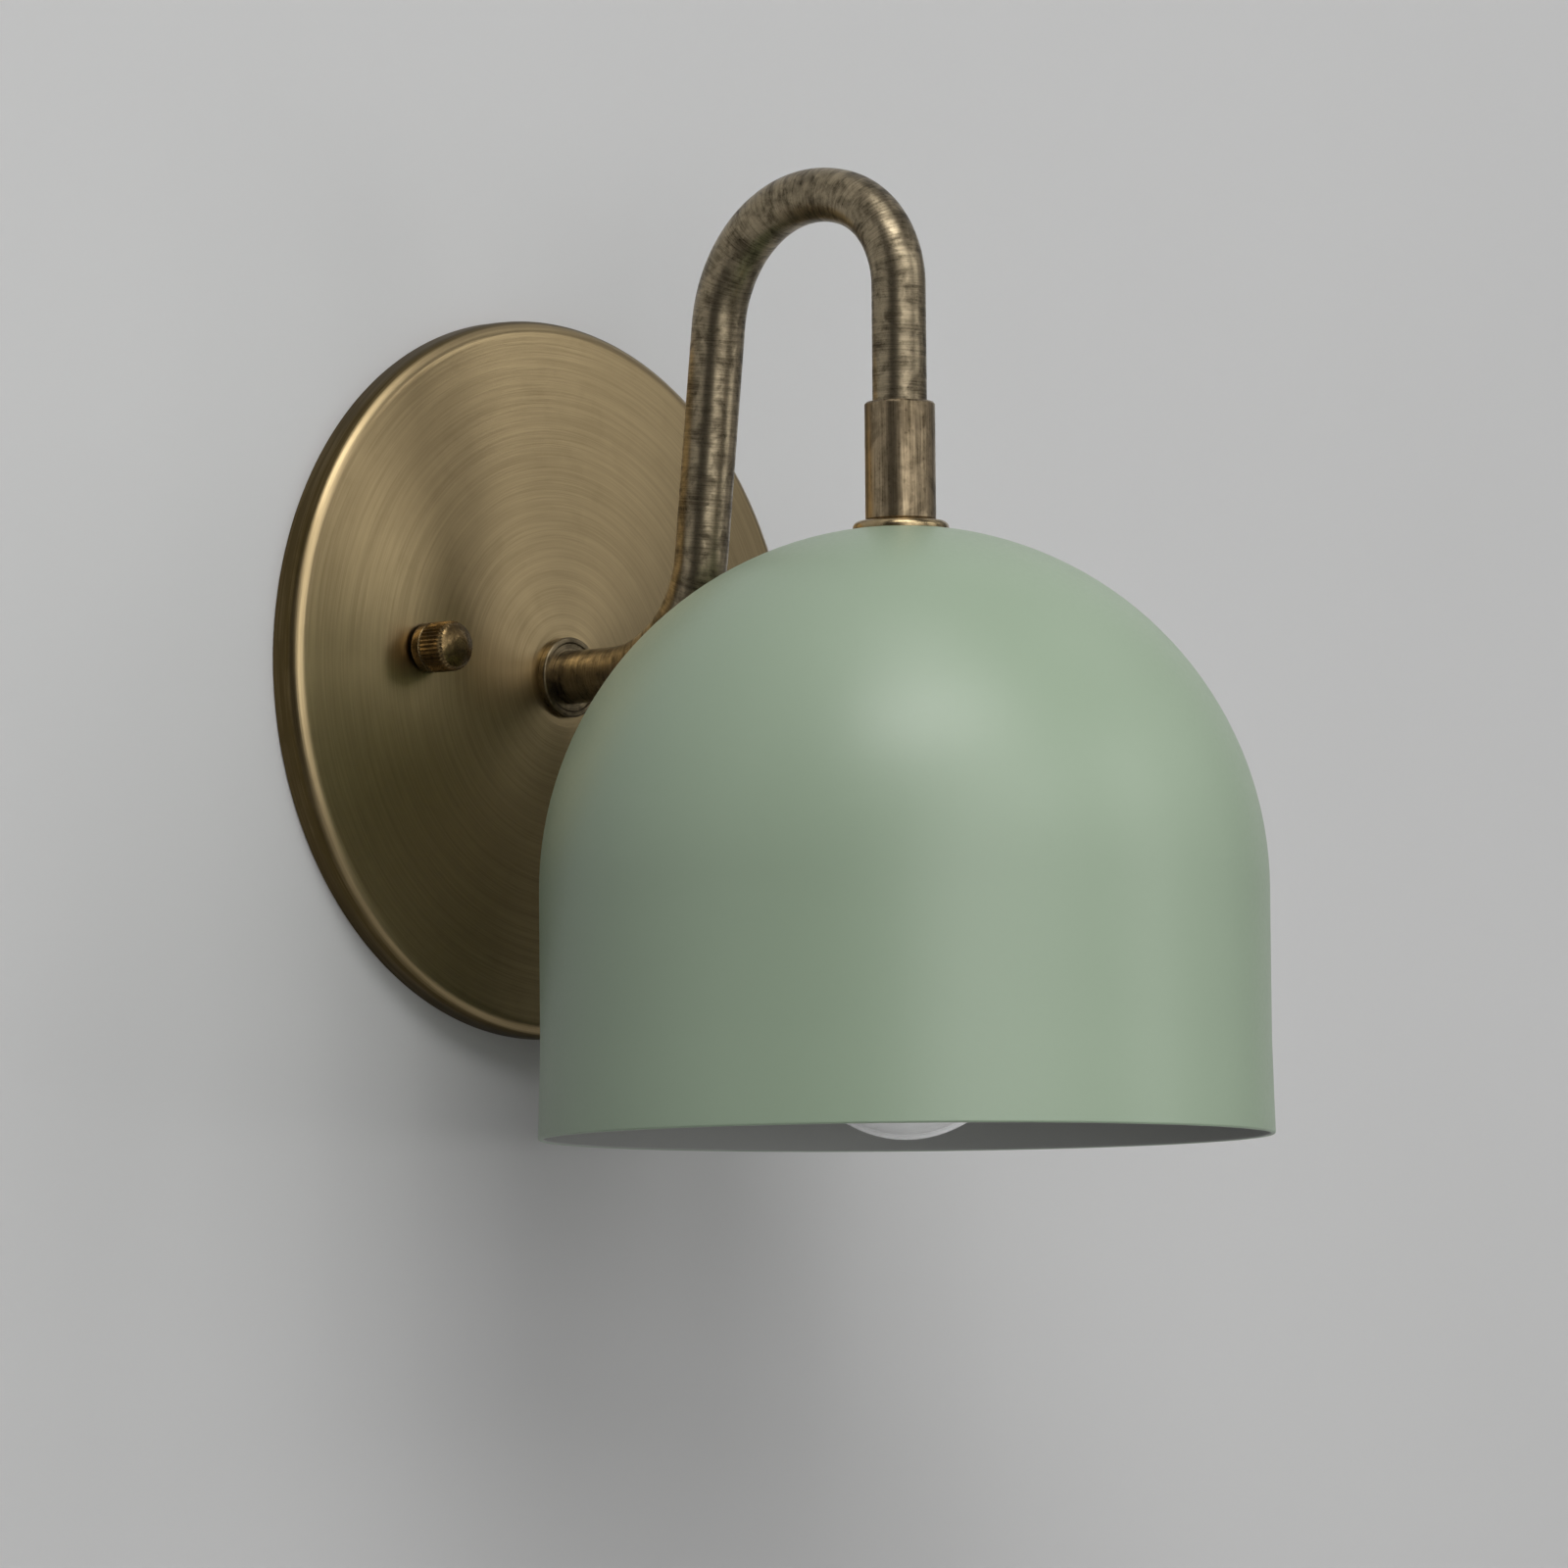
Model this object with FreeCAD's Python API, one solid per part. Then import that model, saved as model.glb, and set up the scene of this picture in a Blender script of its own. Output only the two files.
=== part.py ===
"""Gooseneck wall sconce: dished back plate, bent tube arm, dome shade, lamp holder and bulb.

Millimetres. The origin is the centre of the back plate on the wall plane, Y = 0. The lamp stands
out along -Y, +Z is up and +X is to the right of someone who faces the wall.
"""
import FreeCAD, Part
import math
import os

from FreeCAD import Rotation, Vector

# ---------------------------------------------------------------- driving dimensions
# clearances
SEAT_GAP = 0.10           # between a turning nut and the plate under it
THREAD_GAP = 0.06         # radial, between a thread and its hole
SLIDE_GAP = 0.08          # radial, between the bulb's cap and the lamp holder's shell
WIRE_GAP = 0.25           # between a wire and what it lies on
END_GAP = 0.1             # arm's end past its lock nut
LEAD_GAP = 0.4            # between a support wire and what it holds
SAME_POINT = 1e-6         # two points nearer than this are one

# back plate
PLATE_R = 66.5
PLATE_SHEET = 1.2
PLATE_SIDE = 5.9          # depth of the side wall where it would meet the cone
PLATE_DEPTH = 9.4         # depth of the flat boss at the centre
PLATE_BOSS_R = 9.0
PLATE_EDGE_ROUND = 3.2
PLATE_BOSS_ROUND = 6.0
PLATE_STUD_HOLE_R = 2.6

# crossbar behind the plate
STUD_SPACING = 69.85
SCREW_LINE_TILT = 6.0     # degrees, the line of the cap nuts climbs to the left
BAR_LENGTH = 104.0
BAR_WIDTH = 19.0
BAR_THICKNESS = 1.9
BAR_CENTRE_HOLE_R = 6.5
BOX_SCREW_CIRCLE = 88.9
BOX_SCREW_HOLE_R = 2.4
GROUND_SCREW_X = 18.0
GROUND_SCREW_R = 2.35
GROUND_HEAD_R = 4.6
GROUND_HEAD_HEIGHT = 1.8
GROUND_HEAD_ROUND = 0.7
GROUND_SLOT = 1.0         # width of its slot, and about its depth
LUG_SHEET = 0.6
LUG_R = 4.2
LUG_BARREL_GAP = 1.0      # from the ring to the barrel, along the tongue

# studs and their nuts
STUD_R = 2.08
STUD_REACH = 5.4          # how far a stud stands out of the plate's face
STUD_CHAMFER = 0.4
STUD_NUT_FLATS = 8.7
STUD_NUT_HEIGHT = 3.0
CAP_NUT_R = 4.6
CAP_NUT_EDGE = 0.25
CAP_NUT_COLLAR = 1.9
CAP_NUT_GROOVE = 0.35
CAP_NUT_GROOVE_DEPTH = 0.25
CAP_NUT_SIDE = 7.2        # height at which the side would meet the domed end
CAP_NUT_SHOULDER = 1.8
CAP_NUT_HEIGHT = 8.4
CAP_NUT_APEX_R = 1.8
CAP_NUT_APEX_ROUND = 2.4
CAP_NUT_BORE_DEPTH = 6.2
KNURL_TEETH = 36
KNURL_DEPTH = 0.2

# arm
TUBE_R = 4.9
TUBE_WALL = 1.0
ARM_REACH = 93.4          # wall to the axis of the shade
ARM_BEND_Z = 65.4         # height at which the front leg starts to bend
ARM_FRONT_BEND_R = 17.9
ARM_FRONT_TURN = 70.3     # degrees
ARM_TOP_BEND_R = 24.6
ARM_ELBOW_R = 22.8
ARM_LEAN = 6.5            # degrees, the rear leg leans forward
RING_R = 7.4
RING_THICKNESS = 1.6
RING_EDGE = 0.35
RING_FACE = 0.9           # width of its flat front, inside which it is dished
RING_DISH = 0.25
ARM_WASHER_THICKNESS = 0.8
ARM_WASHER_R = 8.6
ARM_WASHER_SPLIT = 0.8
ARM_WASHER_TURN = 35.0    # degrees, where its split lies
PIPE_NUT_FLATS = 14.3
PIPE_NUT_HEIGHT = 3.0
NUT_FACE = 0.97           # share of a nut's flats that stays flat inside its end chamfers

# stack on the axis of the shade, from the top down
COUPLING_TOP_Z = 44.4
COUPLING_LENGTH = 21.5
COUPLING_R = 6.35
COUPLING_EDGE = 0.4
COUPLING_ENGAGE = 10.0    # how far the arm goes into the coupling
COUPLING_MIDDLE_GAP = 1.0
FLANGE_R = 8.65
FLANGE_THICKNESS = 1.6
FLANGE_ROUND = 1.25
FLANGE_FOOT_EDGE = 0.15
SHADE_R = 65.4
SHADE_SHEET = 1.0
SHADE_HEIGHT = 109.0      # flat top to rim
SHADE_FLARE = 0.5
SHADE_FLARE_HEIGHT = 17.0
SHADE_FLAT_R = 9.0
SHADE_WASHER_R = 8.4
SHADE_WASHER_THICKNESS = 1.0
NIPPLE_BORE_R = 3.2
NIPPLE_IN_CAP = 5.0

# lamp holder
CAP_SHEET = 0.9
CAP_NECK_R = 7.6
CAP_NECK_HEIGHT = 5.6
CAP_R = 18.6
CAP_SHOULDER_DROP = 3.4
CAP_SKIRT = 10.0
CAP_NECK_EDGE = 0.5
CAP_NECK_FILLET = 1.2     # where the neck runs into the shoulder
CAP_SHOULDER_ROUND = 3.0
CAP_FOOT_EDGE = 0.3
SET_SCREW_R = 1.5
SET_SCREW_STANDOUT = 2.4
SET_SCREW_SLOT = 0.5
SET_SCREW_SLOT_DEPTH = 0.8
BODY_BELOW_CAP_TOP = 13.0  # top of the cap to the top of the ceramic
BODY_HEIGHT = 34.5
BODY_FLOOR = 5.0
BODY_LIP_R = 19.0
BODY_LIP_HEIGHT = 4.0
BODY_FOOT_R = 17.2
BODY_UNDER_LIP_R = 17.8
BODY_EDGE = 0.8           # glazed edges
BODY_FOOT_EDGE = 1.2
BODY_MOUTH_EDGE = 0.6
SHELL_SHEET = 0.35
SHELL_LENGTH = 25.0
CONTACT_WIDTH = 7.0
CONTACT_SHEET = 0.5
CONTACT_DROP = 1.4        # the spring hangs this far under the floor
CONTACT_REACH = 7.5
CONTACT_SEAT = 2.6        # length of its flat end on the floor
CONTACT_PAD = 2.4         # half the length of its lowered end
CONTACT_LIP = 0.8         # how far the lowered end runs on
TERMINAL_X = 9.6
TERMINAL_TAB = 2.4        # how far a plate runs inward past its square
TERMINAL_HEAD_ROUND = 0.8
TERMINAL_SLOT = 0.8
TERMINAL_PLATE = 0.8
TERMINAL_SIZE = 6.4
TERMINAL_HEAD_R = 2.7
TERMINAL_HEAD_HEIGHT = 1.5

# bulb
BULB_CAP_R = 13.0
BULB_CAP_LENGTH = 22.5
BULB_CAP_SHEET = 0.3
BULB_CAP_ROUND = 2.0
BULB_TIP_R = 4.8
BULB_TIP_HEIGHT = 1.2
BULB_TIP_ROUND = 0.9
BULB_INSULATOR_HEIGHT = 3.4
BULB_INSULATOR_R = 8.4
BULB_INSULATOR_TOP_R = 5.2
BULB_INSULATOR_ROUND = 0.6
BULB_CAP_HOLE_R = 7.2     # in the cap's end, under the insulator
BULB_R = 21.0
BULB_BELOW_RIM = 0.4
BULB_GLASS = 0.8
BULB_NECK_R = 12.4
BULB_NECK_LENGTH = 11.0
BULB_IN_CAP = 1.5         # how far the neck goes into the cap
BULB_BELLY = 4.0          # height of the straight belt over the ball's middle
BULB_STEM_R = 3.4
BULB_STEM_FOOT_R = 7.0
BULB_STEM_DROP = 2.2      # the stem's foot lies this far under the cap
BULB_STEM_FLANGE = 3.0
BULB_STEM_FLARE = 7.0
BULB_STEM_LENGTH = 21.0
BULB_STEM_ROUND = 2.0
BULB_STEM_TIP_R = 1.3
BULB_STEM_TIP = 2.5       # length of its thin end
BULB_STEM_TAPER = 3.5
FILAMENT_COUNT = 4
FILAMENT_R = 0.75
FILAMENT_LENGTH = 24.0
FILAMENT_TOP_R = 4.6
FILAMENT_FOOT_R = 9.0
FILAMENT_DROP = 4.0       # under the foot of the neck
LEAD_R = 0.3
LEAD_RISE = 3.0
LEAD_DROP = 1.0

# wires
WIRE_R = 1.0
WIRE_COPPER_R = 0.5
WIRE_COPPER = 6.0
WIRE_SPREAD = 1.3         # of each lead from the middle of the tube
WIRE_MOUTH_BEND = 2.9
WIRE_END_BEND = 0.48      # share of the shorter run that each bend over a terminal takes
TAIL_RUN = 12.0           # from the arm's mouth across the strap
TAIL_BEND_R = 14.0
TAIL_BEND = 80.0          # degrees
TAIL_CURL_R = 36.0
TAIL_CURL = 70.0          # degrees
GROUND_RUN = 9.0
GROUND_BEND_R = 12.0
GROUND_BEND = 75.0        # degrees
GROUND_CURL_R = 20.0
GROUND_CURL = 50.0        # degrees
LUG_BARREL_WALL = 0.45
LUG_BARREL_LENGTH = 4.5
LUG_TONGUE = 2.4

# ---------------------------------------------------------------- places worked out from them
Y_AXIS = Vector(0, 1, 0)
Z_AXIS = Vector(0, 0, 1)
OUT = Vector(0, -1, 0)
CONE_SLOPE = (PLATE_DEPTH - PLATE_SIDE) / (PLATE_R - PLATE_BOSS_R)
BAR_TURN = Rotation(Y_AXIS, SCREW_LINE_TILT)

BORE_R = TUBE_R + THREAD_GAP
PLATE_INSIDE = PLATE_DEPTH - PLATE_SHEET
ARM_WASHER_Y = -PLATE_INSIDE + ARM_WASHER_THICKNESS
ARM_NUT_Y = ARM_WASHER_Y + PIPE_NUT_HEIGHT
ARM_END_Y = ARM_NUT_Y + END_GAP

COUPLING_Z = COUPLING_TOP_Z - COUPLING_LENGTH
ARM_TIP_Z = COUPLING_TOP_Z - COUPLING_ENGAGE
NIPPLE_TOP_Z = ARM_TIP_Z - COUPLING_MIDDLE_GAP
SHADE_TOP_Z = COUPLING_Z - FLANGE_THICKNESS
SHADE_RIM_Z = SHADE_TOP_Z - SHADE_HEIGHT
SHADE_WASHER_Z = SHADE_TOP_Z - SHADE_SHEET
SHADE_NUT_Z = SHADE_WASHER_Z - SHADE_WASHER_THICKNESS
CAP_TOP_Z = SHADE_NUT_Z - PIPE_NUT_HEIGHT
NIPPLE_FOOT_Z = CAP_TOP_Z - NIPPLE_IN_CAP
BODY_TOP_Z = CAP_TOP_Z - BODY_BELOW_CAP_TOP
BODY_FLOOR_Z = BODY_TOP_Z - BODY_FLOOR
BODY_FOOT_Z = BODY_TOP_Z - BODY_HEIGHT
SHELL_R = BULB_CAP_R + SLIDE_GAP
BODY_BORE_R = SHELL_R + SHELL_SHEET + THREAD_GAP
BULB_TIP_Z = BODY_FLOOR_Z - CONTACT_DROP - CONTACT_SHEET
BULB_FOOT_Z = SHADE_RIM_Z - BULB_BELOW_RIM
BULB_CAP_TOP_Z = BULB_TIP_Z - BULB_TIP_HEIGHT - BULB_INSULATOR_HEIGHT
BULB_CAP_Z = BULB_CAP_TOP_Z - BULB_CAP_LENGTH


# ---------------------------------------------------------------- drawing helpers
def rounded_face(corners):
    """Face in the XZ plane from (radius, height, rounding) corners, taken in order."""
    points = [Vector(r, 0, h) for r, h, _ in corners]
    rounds = [rounding for _, _, rounding in corners]
    return Part.Face(rounded_wire(points, rounds, closed=True))


def rounded_wire(points, rounds, closed=False):
    """Wire through the points, with a tangent arc of the given radius at each corner."""
    count = len(points)
    starts, ends, arcs = list(points), list(points), {}
    for i, point in enumerate(points):
        at_end = not closed and i in (0, count - 1)
        if at_end or rounds[i] <= 0:
            continue
        back = (points[i - 1] - point).normalize()
        ahead = (points[(i + 1) % count] - point).normalize()
        half = back.getAngle(ahead) / 2
        reach = rounds[i] / math.tan(half)
        starts[i] = point + back * reach
        ends[i] = point + ahead * reach
        middle = point + (back + ahead).normalize() * (rounds[i] / math.sin(half) - rounds[i])
        arcs[i] = Part.Arc(starts[i], middle, ends[i]).toShape()
    edges = []
    for i in range(count if closed else count - 1):
        following = starts[(i + 1) % count]
        if i in arcs:
            edges.append(arcs[i])
        if (following - ends[i]).Length > SAME_POINT:
            edges.append(Part.LineSegment(ends[i], following).toShape())
    return Part.Wire(edges)


def lathe(corners, centre=Vector(0, 0, 0)):
    """Solid of revolution about a vertical axis through centre, from rounded corners."""
    solid = rounded_face(corners).revolve(Vector(0, 0, 0), Z_AXIS, 360)
    solid.translate(centre)
    return solid


def face_out(solid):
    """Turn a solid drawn up the Z axis so that it stands out of the wall, along -Y."""
    solid.rotate(Vector(0, 0, 0), Vector(1, 0, 0), 90)
    return solid


def disc(radius, height, foot, bore=0.0):
    """Plain vertical disc or washer on the Z axis."""
    solid = Part.makeCylinder(radius, height, Vector(0, 0, foot))
    if bore > 0:
        solid = solid.cut(Part.makeCylinder(bore, height, Vector(0, 0, foot)))
    return solid


def hex_nut(flats, height, foot, bore):
    """Hexagon nut on the Z axis with chamfered corners and a plain bore."""
    corner = flats / math.sqrt(3)
    points = [Rotation(Z_AXIS, 60 * k).multVec(Vector(corner, 0, foot)) for k in range(7)]
    nut = Part.Face(Part.makePolygon(points)).extrude(Vector(0, 0, height))
    face_r = flats / 2 * NUT_FACE
    drop = (corner - face_r) / 2
    bevel = lathe([(0, foot, 0), (face_r, foot, 0), (corner, foot + drop, 0),
                   (corner, foot + height - drop, 0), (face_r, foot + height, 0), (0, foot + height, 0)])
    return nut.common(bevel).cut(Part.makeCylinder(bore, height, Vector(0, 0, foot)))


def screw_slot(head_r, width, depth, top):
    """Slot across a screw head on the Z axis, along X."""
    return Part.makeBox(2 * head_r, width, depth, Vector(-head_r, -width / 2, top - depth))


def on_shade_axis(solid):
    """Move a solid from the Z axis to the axis of the shade."""
    solid.translate(Vector(0, -ARM_REACH, 0))
    return solid


def on_stud(solid, side):
    """Move a solid that stands out at the origin to the left (-1) or right (+1) stud."""
    solid.translate(stud_place(side))
    return solid


def stud_place(side):
    """Centre of a stud on the wall plane."""
    return BAR_TURN.multVec(Vector(side * STUD_SPACING / 2, 0, 0))


def cone_depth(radius):
    """Distance of the plate's face from the wall at a radius on the cone."""
    return PLATE_DEPTH - (radius - PLATE_BOSS_R) * CONE_SLOPE


class Track:
    """A path of straight runs and tangent arcs, drawn from a point in a heading."""

    def __init__(self, start, heading):
        self.at = start
        self.heading = heading
        self.edges = []

    def straight(self, length):
        """Go ahead by a length."""
        end = self.at + self.heading * length
        self.edges.append(Part.LineSegment(self.at, end).toShape())
        self.at = end
        return self

    def bend(self, radius, degrees, toward):
        """Turn on an arc towards a direction square to the heading."""
        centre = self.at + toward * radius
        axis = self.heading.cross(toward)
        spoke = self.at - centre
        middle = centre + Rotation(axis, degrees / 2).multVec(spoke)
        end = centre + Rotation(axis, degrees).multVec(spoke)
        self.edges.append(Part.Arc(self.at, middle, end).toShape())
        self.at = end
        self.heading = Rotation(axis, degrees).multVec(self.heading)
        return self

    def pipe(self, radius):
        """Solid round bar along the path."""
        first = self.edges[0]
        start = first.valueAt(first.FirstParameter)
        tangent = first.tangentAt(first.FirstParameter)
        section = Part.Wire(Part.makeCircle(radius, start, tangent))
        return Part.Wire(self.edges).makePipeShell([section], True, False)


# ---------------------------------------------------------------- wall side
def back_plate():
    """Dished sheet canopy: side wall, rolled edge, shallow cone and a flat boss."""
    lean = math.sqrt(1 + CONE_SLOPE ** 2)
    inside_r = PLATE_R - PLATE_SHEET
    inside_side = cone_depth(inside_r) - PLATE_SHEET * lean
    shell = lathe([
        (BORE_R, PLATE_DEPTH, 0),
        (PLATE_BOSS_R, PLATE_DEPTH, PLATE_BOSS_ROUND),
        (PLATE_R, PLATE_SIDE, PLATE_EDGE_ROUND),
        (PLATE_R, 0, 0),
        (inside_r, 0, 0),
        (inside_r, inside_side, PLATE_EDGE_ROUND - PLATE_SHEET),
        (PLATE_BOSS_R, PLATE_INSIDE, 0),
        (BORE_R, PLATE_INSIDE, 0),
    ])
    face_out(shell)
    for side in (-1, 1):
        hole = Part.makeCylinder(PLATE_STUD_HOLE_R, PLATE_DEPTH, stud_place(side), OUT)
        shell = shell.cut(hole)
    return shell


def crossbar():
    """Flat strap with round ends, its back on the wall plane."""
    half = BAR_LENGTH / 2 - BAR_WIDTH / 2
    bar = Part.makeBox(2 * half, BAR_WIDTH, BAR_THICKNESS, Vector(-half, -BAR_WIDTH / 2, 0))
    for side in (-1, 1):
        bar = bar.fuse(Part.makeCylinder(BAR_WIDTH / 2, BAR_THICKNESS, Vector(side * half, 0, 0)))
    bar = bar.removeSplitter()
    holes = [(0, BAR_CENTRE_HOLE_R), (GROUND_SCREW_X, GROUND_SCREW_R + THREAD_GAP)]
    for side in (-1, 1):
        holes.append((side * STUD_SPACING / 2, STUD_R + THREAD_GAP))
        holes.append((side * BOX_SCREW_CIRCLE / 2, BOX_SCREW_HOLE_R))
    for x, radius in holes:
        bar = bar.cut(Part.makeCylinder(radius, BAR_THICKNESS, Vector(x, 0, 0)))
    return turn_to_screw_line(face_out(bar))


def turn_to_screw_line(solid):
    """Turn a solid about the plate's centre into the line of the cap nuts."""
    solid.rotate(Vector(0, 0, 0), Y_AXIS, SCREW_LINE_TILT)
    return solid


def canopy_studs():
    """Two headless studs, screwed through the strap."""
    length = cone_depth(STUD_SPACING / 2) + STUD_REACH
    tip = STUD_R - STUD_CHAMFER
    studs = []
    for side in (-1, 1):
        stud = lathe([(0, 0, 0), (tip, 0, 0), (STUD_R, STUD_CHAMFER, 0), (STUD_R, length - STUD_CHAMFER, 0),
                      (tip, length, 0), (0, length, 0)])
        studs.append(on_stud(face_out(stud), side))
    return Part.makeCompound(studs)


def stud_lock_nuts():
    """Two hex nuts that hold the studs on the strap."""
    nuts = []
    for side in (-1, 1):
        nut = hex_nut(STUD_NUT_FLATS, STUD_NUT_HEIGHT, BAR_THICKNESS, STUD_R + THREAD_GAP)
        nuts.append(on_stud(face_out(nut), side))
    return Part.makeCompound(nuts)


def cap_nut(side):
    """Blind nut: plain collar, fine groove, knurled band and a shallow domed end."""
    foot = cone_depth(STUD_SPACING / 2 - CAP_NUT_R) + SEAT_GAP
    groove = foot + CAP_NUT_COLLAR
    band = groove + CAP_NUT_GROOVE
    inner = CAP_NUT_R - CAP_NUT_GROOVE_DEPTH
    bore = STUD_R + THREAD_GAP
    bore_end = foot + CAP_NUT_BORE_DEPTH
    nut = lathe([
        (bore, foot, 0),
        (CAP_NUT_R, foot, CAP_NUT_EDGE),
        (CAP_NUT_R, groove, CAP_NUT_EDGE),
        (inner, groove, 0),
        (inner, band, 0),
        (CAP_NUT_R, band, 0),
        (CAP_NUT_R, foot + CAP_NUT_SIDE, CAP_NUT_SHOULDER),
        (CAP_NUT_APEX_R, foot + CAP_NUT_HEIGHT, CAP_NUT_APEX_ROUND),
        (0, foot + CAP_NUT_HEIGHT, 0),
        (0, bore_end, 0),
        (bore, bore_end - bore / 2, 0),
    ])
    flutes = []
    for k in range(KNURL_TEETH):
        flute = Part.makeCylinder(KNURL_DEPTH, CAP_NUT_HEIGHT, Vector(CAP_NUT_R, 0, band))
        flute.rotate(Vector(0, 0, 0), Z_AXIS, 360.0 * k / KNURL_TEETH)
        flutes.append(flute)
    nut = nut.cut(Part.makeCompound(flutes))
    return on_stud(face_out(nut), side)


def ground_screw():
    """Slotted washer-head screw, flush with the back of the strap."""
    seat = BAR_THICKNESS + LUG_SHEET
    top = seat + GROUND_HEAD_HEIGHT
    screw = lathe([(0, 0, 0), (GROUND_SCREW_R, 0, 0), (GROUND_SCREW_R, seat, 0),
                   (GROUND_HEAD_R, seat, 0), (GROUND_HEAD_R, top, GROUND_HEAD_ROUND), (0, top, 0)])
    screw = screw.cut(screw_slot(GROUND_HEAD_R, GROUND_SLOT, GROUND_SLOT, top))
    screw.translate(Vector(GROUND_SCREW_X, 0, 0))
    return turn_to_screw_line(face_out(screw))


def ground_lug():
    """Ring lug under the earth screw, with its barrel over the end of the wire."""
    rise = lug_wire_rise()
    start = LUG_R + LUG_BARREL_GAP
    closed_end = LUG_BARREL_WALL
    ring = disc(LUG_R, LUG_SHEET, 0, GROUND_SCREW_R + THREAD_GAP)
    tongue = Part.makeBox(LUG_TONGUE, start + LUG_TONGUE / 2 - GROUND_SCREW_R, LUG_SHEET,
                          Vector(-LUG_TONGUE / 2, -start - LUG_TONGUE / 2, 0))
    tongue = tongue.cut(Part.makeCylinder(GROUND_SCREW_R + THREAD_GAP, LUG_SHEET))
    barrel = Part.makeCylinder(WIRE_R + LUG_BARREL_WALL, LUG_BARREL_LENGTH, Vector(0, -start, rise), OUT)
    bore_start = Vector(0, -start - closed_end, rise)
    bore = Part.makeCylinder(WIRE_R + THREAD_GAP, LUG_BARREL_LENGTH, bore_start, OUT)
    lug = ring.fuse([tongue, barrel]).cut(bore).removeSplitter()
    lug.translate(Vector(GROUND_SCREW_X, 0, BAR_THICKNESS))
    return turn_to_screw_line(face_out(lug))


def lug_wire_rise():
    """Height of the earth wire's middle over the foot of its lug."""
    return LUG_SHEET + WIRE_R + 2 * THREAD_GAP


def wire_ground():
    """Earth wire from its lug round the hollow of the plate, with a bare end."""
    start = Vector(GROUND_SCREW_X, -(BAR_THICKNESS + lug_wire_rise()),
                   -(LUG_R + LUG_BARREL_GAP + 2 * LUG_BARREL_WALL))
    path = Track(start, Z_AXIS * -1)
    path.straight(GROUND_RUN)
    path.bend(GROUND_BEND_R, GROUND_BEND, Vector(1, 0, 0))
    path.bend(GROUND_CURL_R, GROUND_CURL, path.heading.cross(Y_AXIS) * -1)
    return turn_to_screw_line(path.pipe(WIRE_R).fuse(bare_end(path)))


def bare_end(path):
    """Stripped copper that stands out of the end of a wire."""
    return Track(path.at, path.heading).straight(WIRE_COPPER).pipe(WIRE_COPPER_R)


# ---------------------------------------------------------------- arm
def arm_track(start_y=ARM_END_Y, tip_z=ARM_TIP_Z, shift=0.0):
    """Centre line of the gooseneck from inside the plate to inside the coupling."""
    lean = math.radians(ARM_LEAN)
    top_turn = 180.0 - ARM_LEAN - ARM_FRONT_TURN
    split = math.radians(180.0 - ARM_FRONT_TURN)
    bend_reach = (ARM_TOP_BEND_R * (math.cos(lean) - math.cos(split))
                  + ARM_FRONT_BEND_R * (math.cos(split) + 1))
    bend_rise = (ARM_TOP_BEND_R * (math.sin(split) - math.sin(lean))
                 - ARM_FRONT_BEND_R * math.sin(split))
    elbow_rise = ARM_ELBOW_R * (1 - math.sin(lean))
    leg = (ARM_BEND_Z - bend_rise - elbow_rise) / math.cos(lean)
    stub = ARM_REACH - bend_reach - leg * math.sin(lean) - ARM_ELBOW_R * math.cos(lean)

    path = Track(Vector(shift, start_y, 0), OUT)
    path.straight(stub + start_y)
    path.bend(ARM_ELBOW_R, 90.0 - ARM_LEAN, Z_AXIS)
    path.straight(leg)
    path.bend(ARM_TOP_BEND_R, top_turn, path.heading.cross(Vector(-1, 0, 0)))
    path.bend(ARM_FRONT_BEND_R, ARM_FRONT_TURN, path.heading.cross(Vector(-1, 0, 0)))
    path.straight(path.at.z - tip_z)
    return path


def arm_tube():
    """Hollow gooseneck tube."""
    path = arm_track()
    return path.pipe(TUBE_R).cut(path.pipe(TUBE_R - TUBE_WALL))


def arm_seat_ring():
    """Ring between the plate's boss and the arm's first visible stretch."""
    top = PLATE_DEPTH + RING_THICKNESS
    inner = RING_R - RING_FACE
    dish = top - RING_DISH
    return face_out(lathe([
        (BORE_R, PLATE_DEPTH, 0), (RING_R, PLATE_DEPTH, 0), (RING_R, top, RING_EDGE),
        (inner, top, 0), (inner - RING_DISH, dish, 0), (BORE_R, dish, 0)]))


def arm_lock_washer():
    """Split spring washer behind the plate."""
    washer = disc(ARM_WASHER_R, ARM_WASHER_THICKNESS, -ARM_WASHER_Y, BORE_R)
    split = Part.makeBox(ARM_WASHER_R, ARM_WASHER_SPLIT, ARM_WASHER_THICKNESS,
                         Vector(0, -ARM_WASHER_SPLIT / 2, -ARM_WASHER_Y))
    split.rotate(Vector(0, 0, 0), Z_AXIS, ARM_WASHER_TURN)
    return face_out(washer.cut(split))


def arm_lock_nut():
    """Hex pipe nut that clamps the arm to the plate."""
    return face_out(hex_nut(PIPE_NUT_FLATS, PIPE_NUT_HEIGHT, -ARM_NUT_Y, BORE_R))


# ---------------------------------------------------------------- shade side
def coupling():
    """Plain sleeve with small chamfers, over the arm and the nipple."""
    low, high, edge = COUPLING_Z, COUPLING_TOP_Z, COUPLING_EDGE
    return on_shade_axis(lathe([
        (BORE_R, low, 0), (COUPLING_R - edge, low, 0), (COUPLING_R, low + edge, 0),
        (COUPLING_R, high - edge, 0), (COUPLING_R - edge, high, 0), (BORE_R, high, 0)]))


def threaded_nipple():
    """Short hollow tube through the coupling, the shade and the lamp holder's cap."""
    length = NIPPLE_TOP_Z - NIPPLE_FOOT_Z
    return on_shade_axis(disc(TUBE_R, length, NIPPLE_FOOT_Z, NIPPLE_BORE_R))


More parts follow.
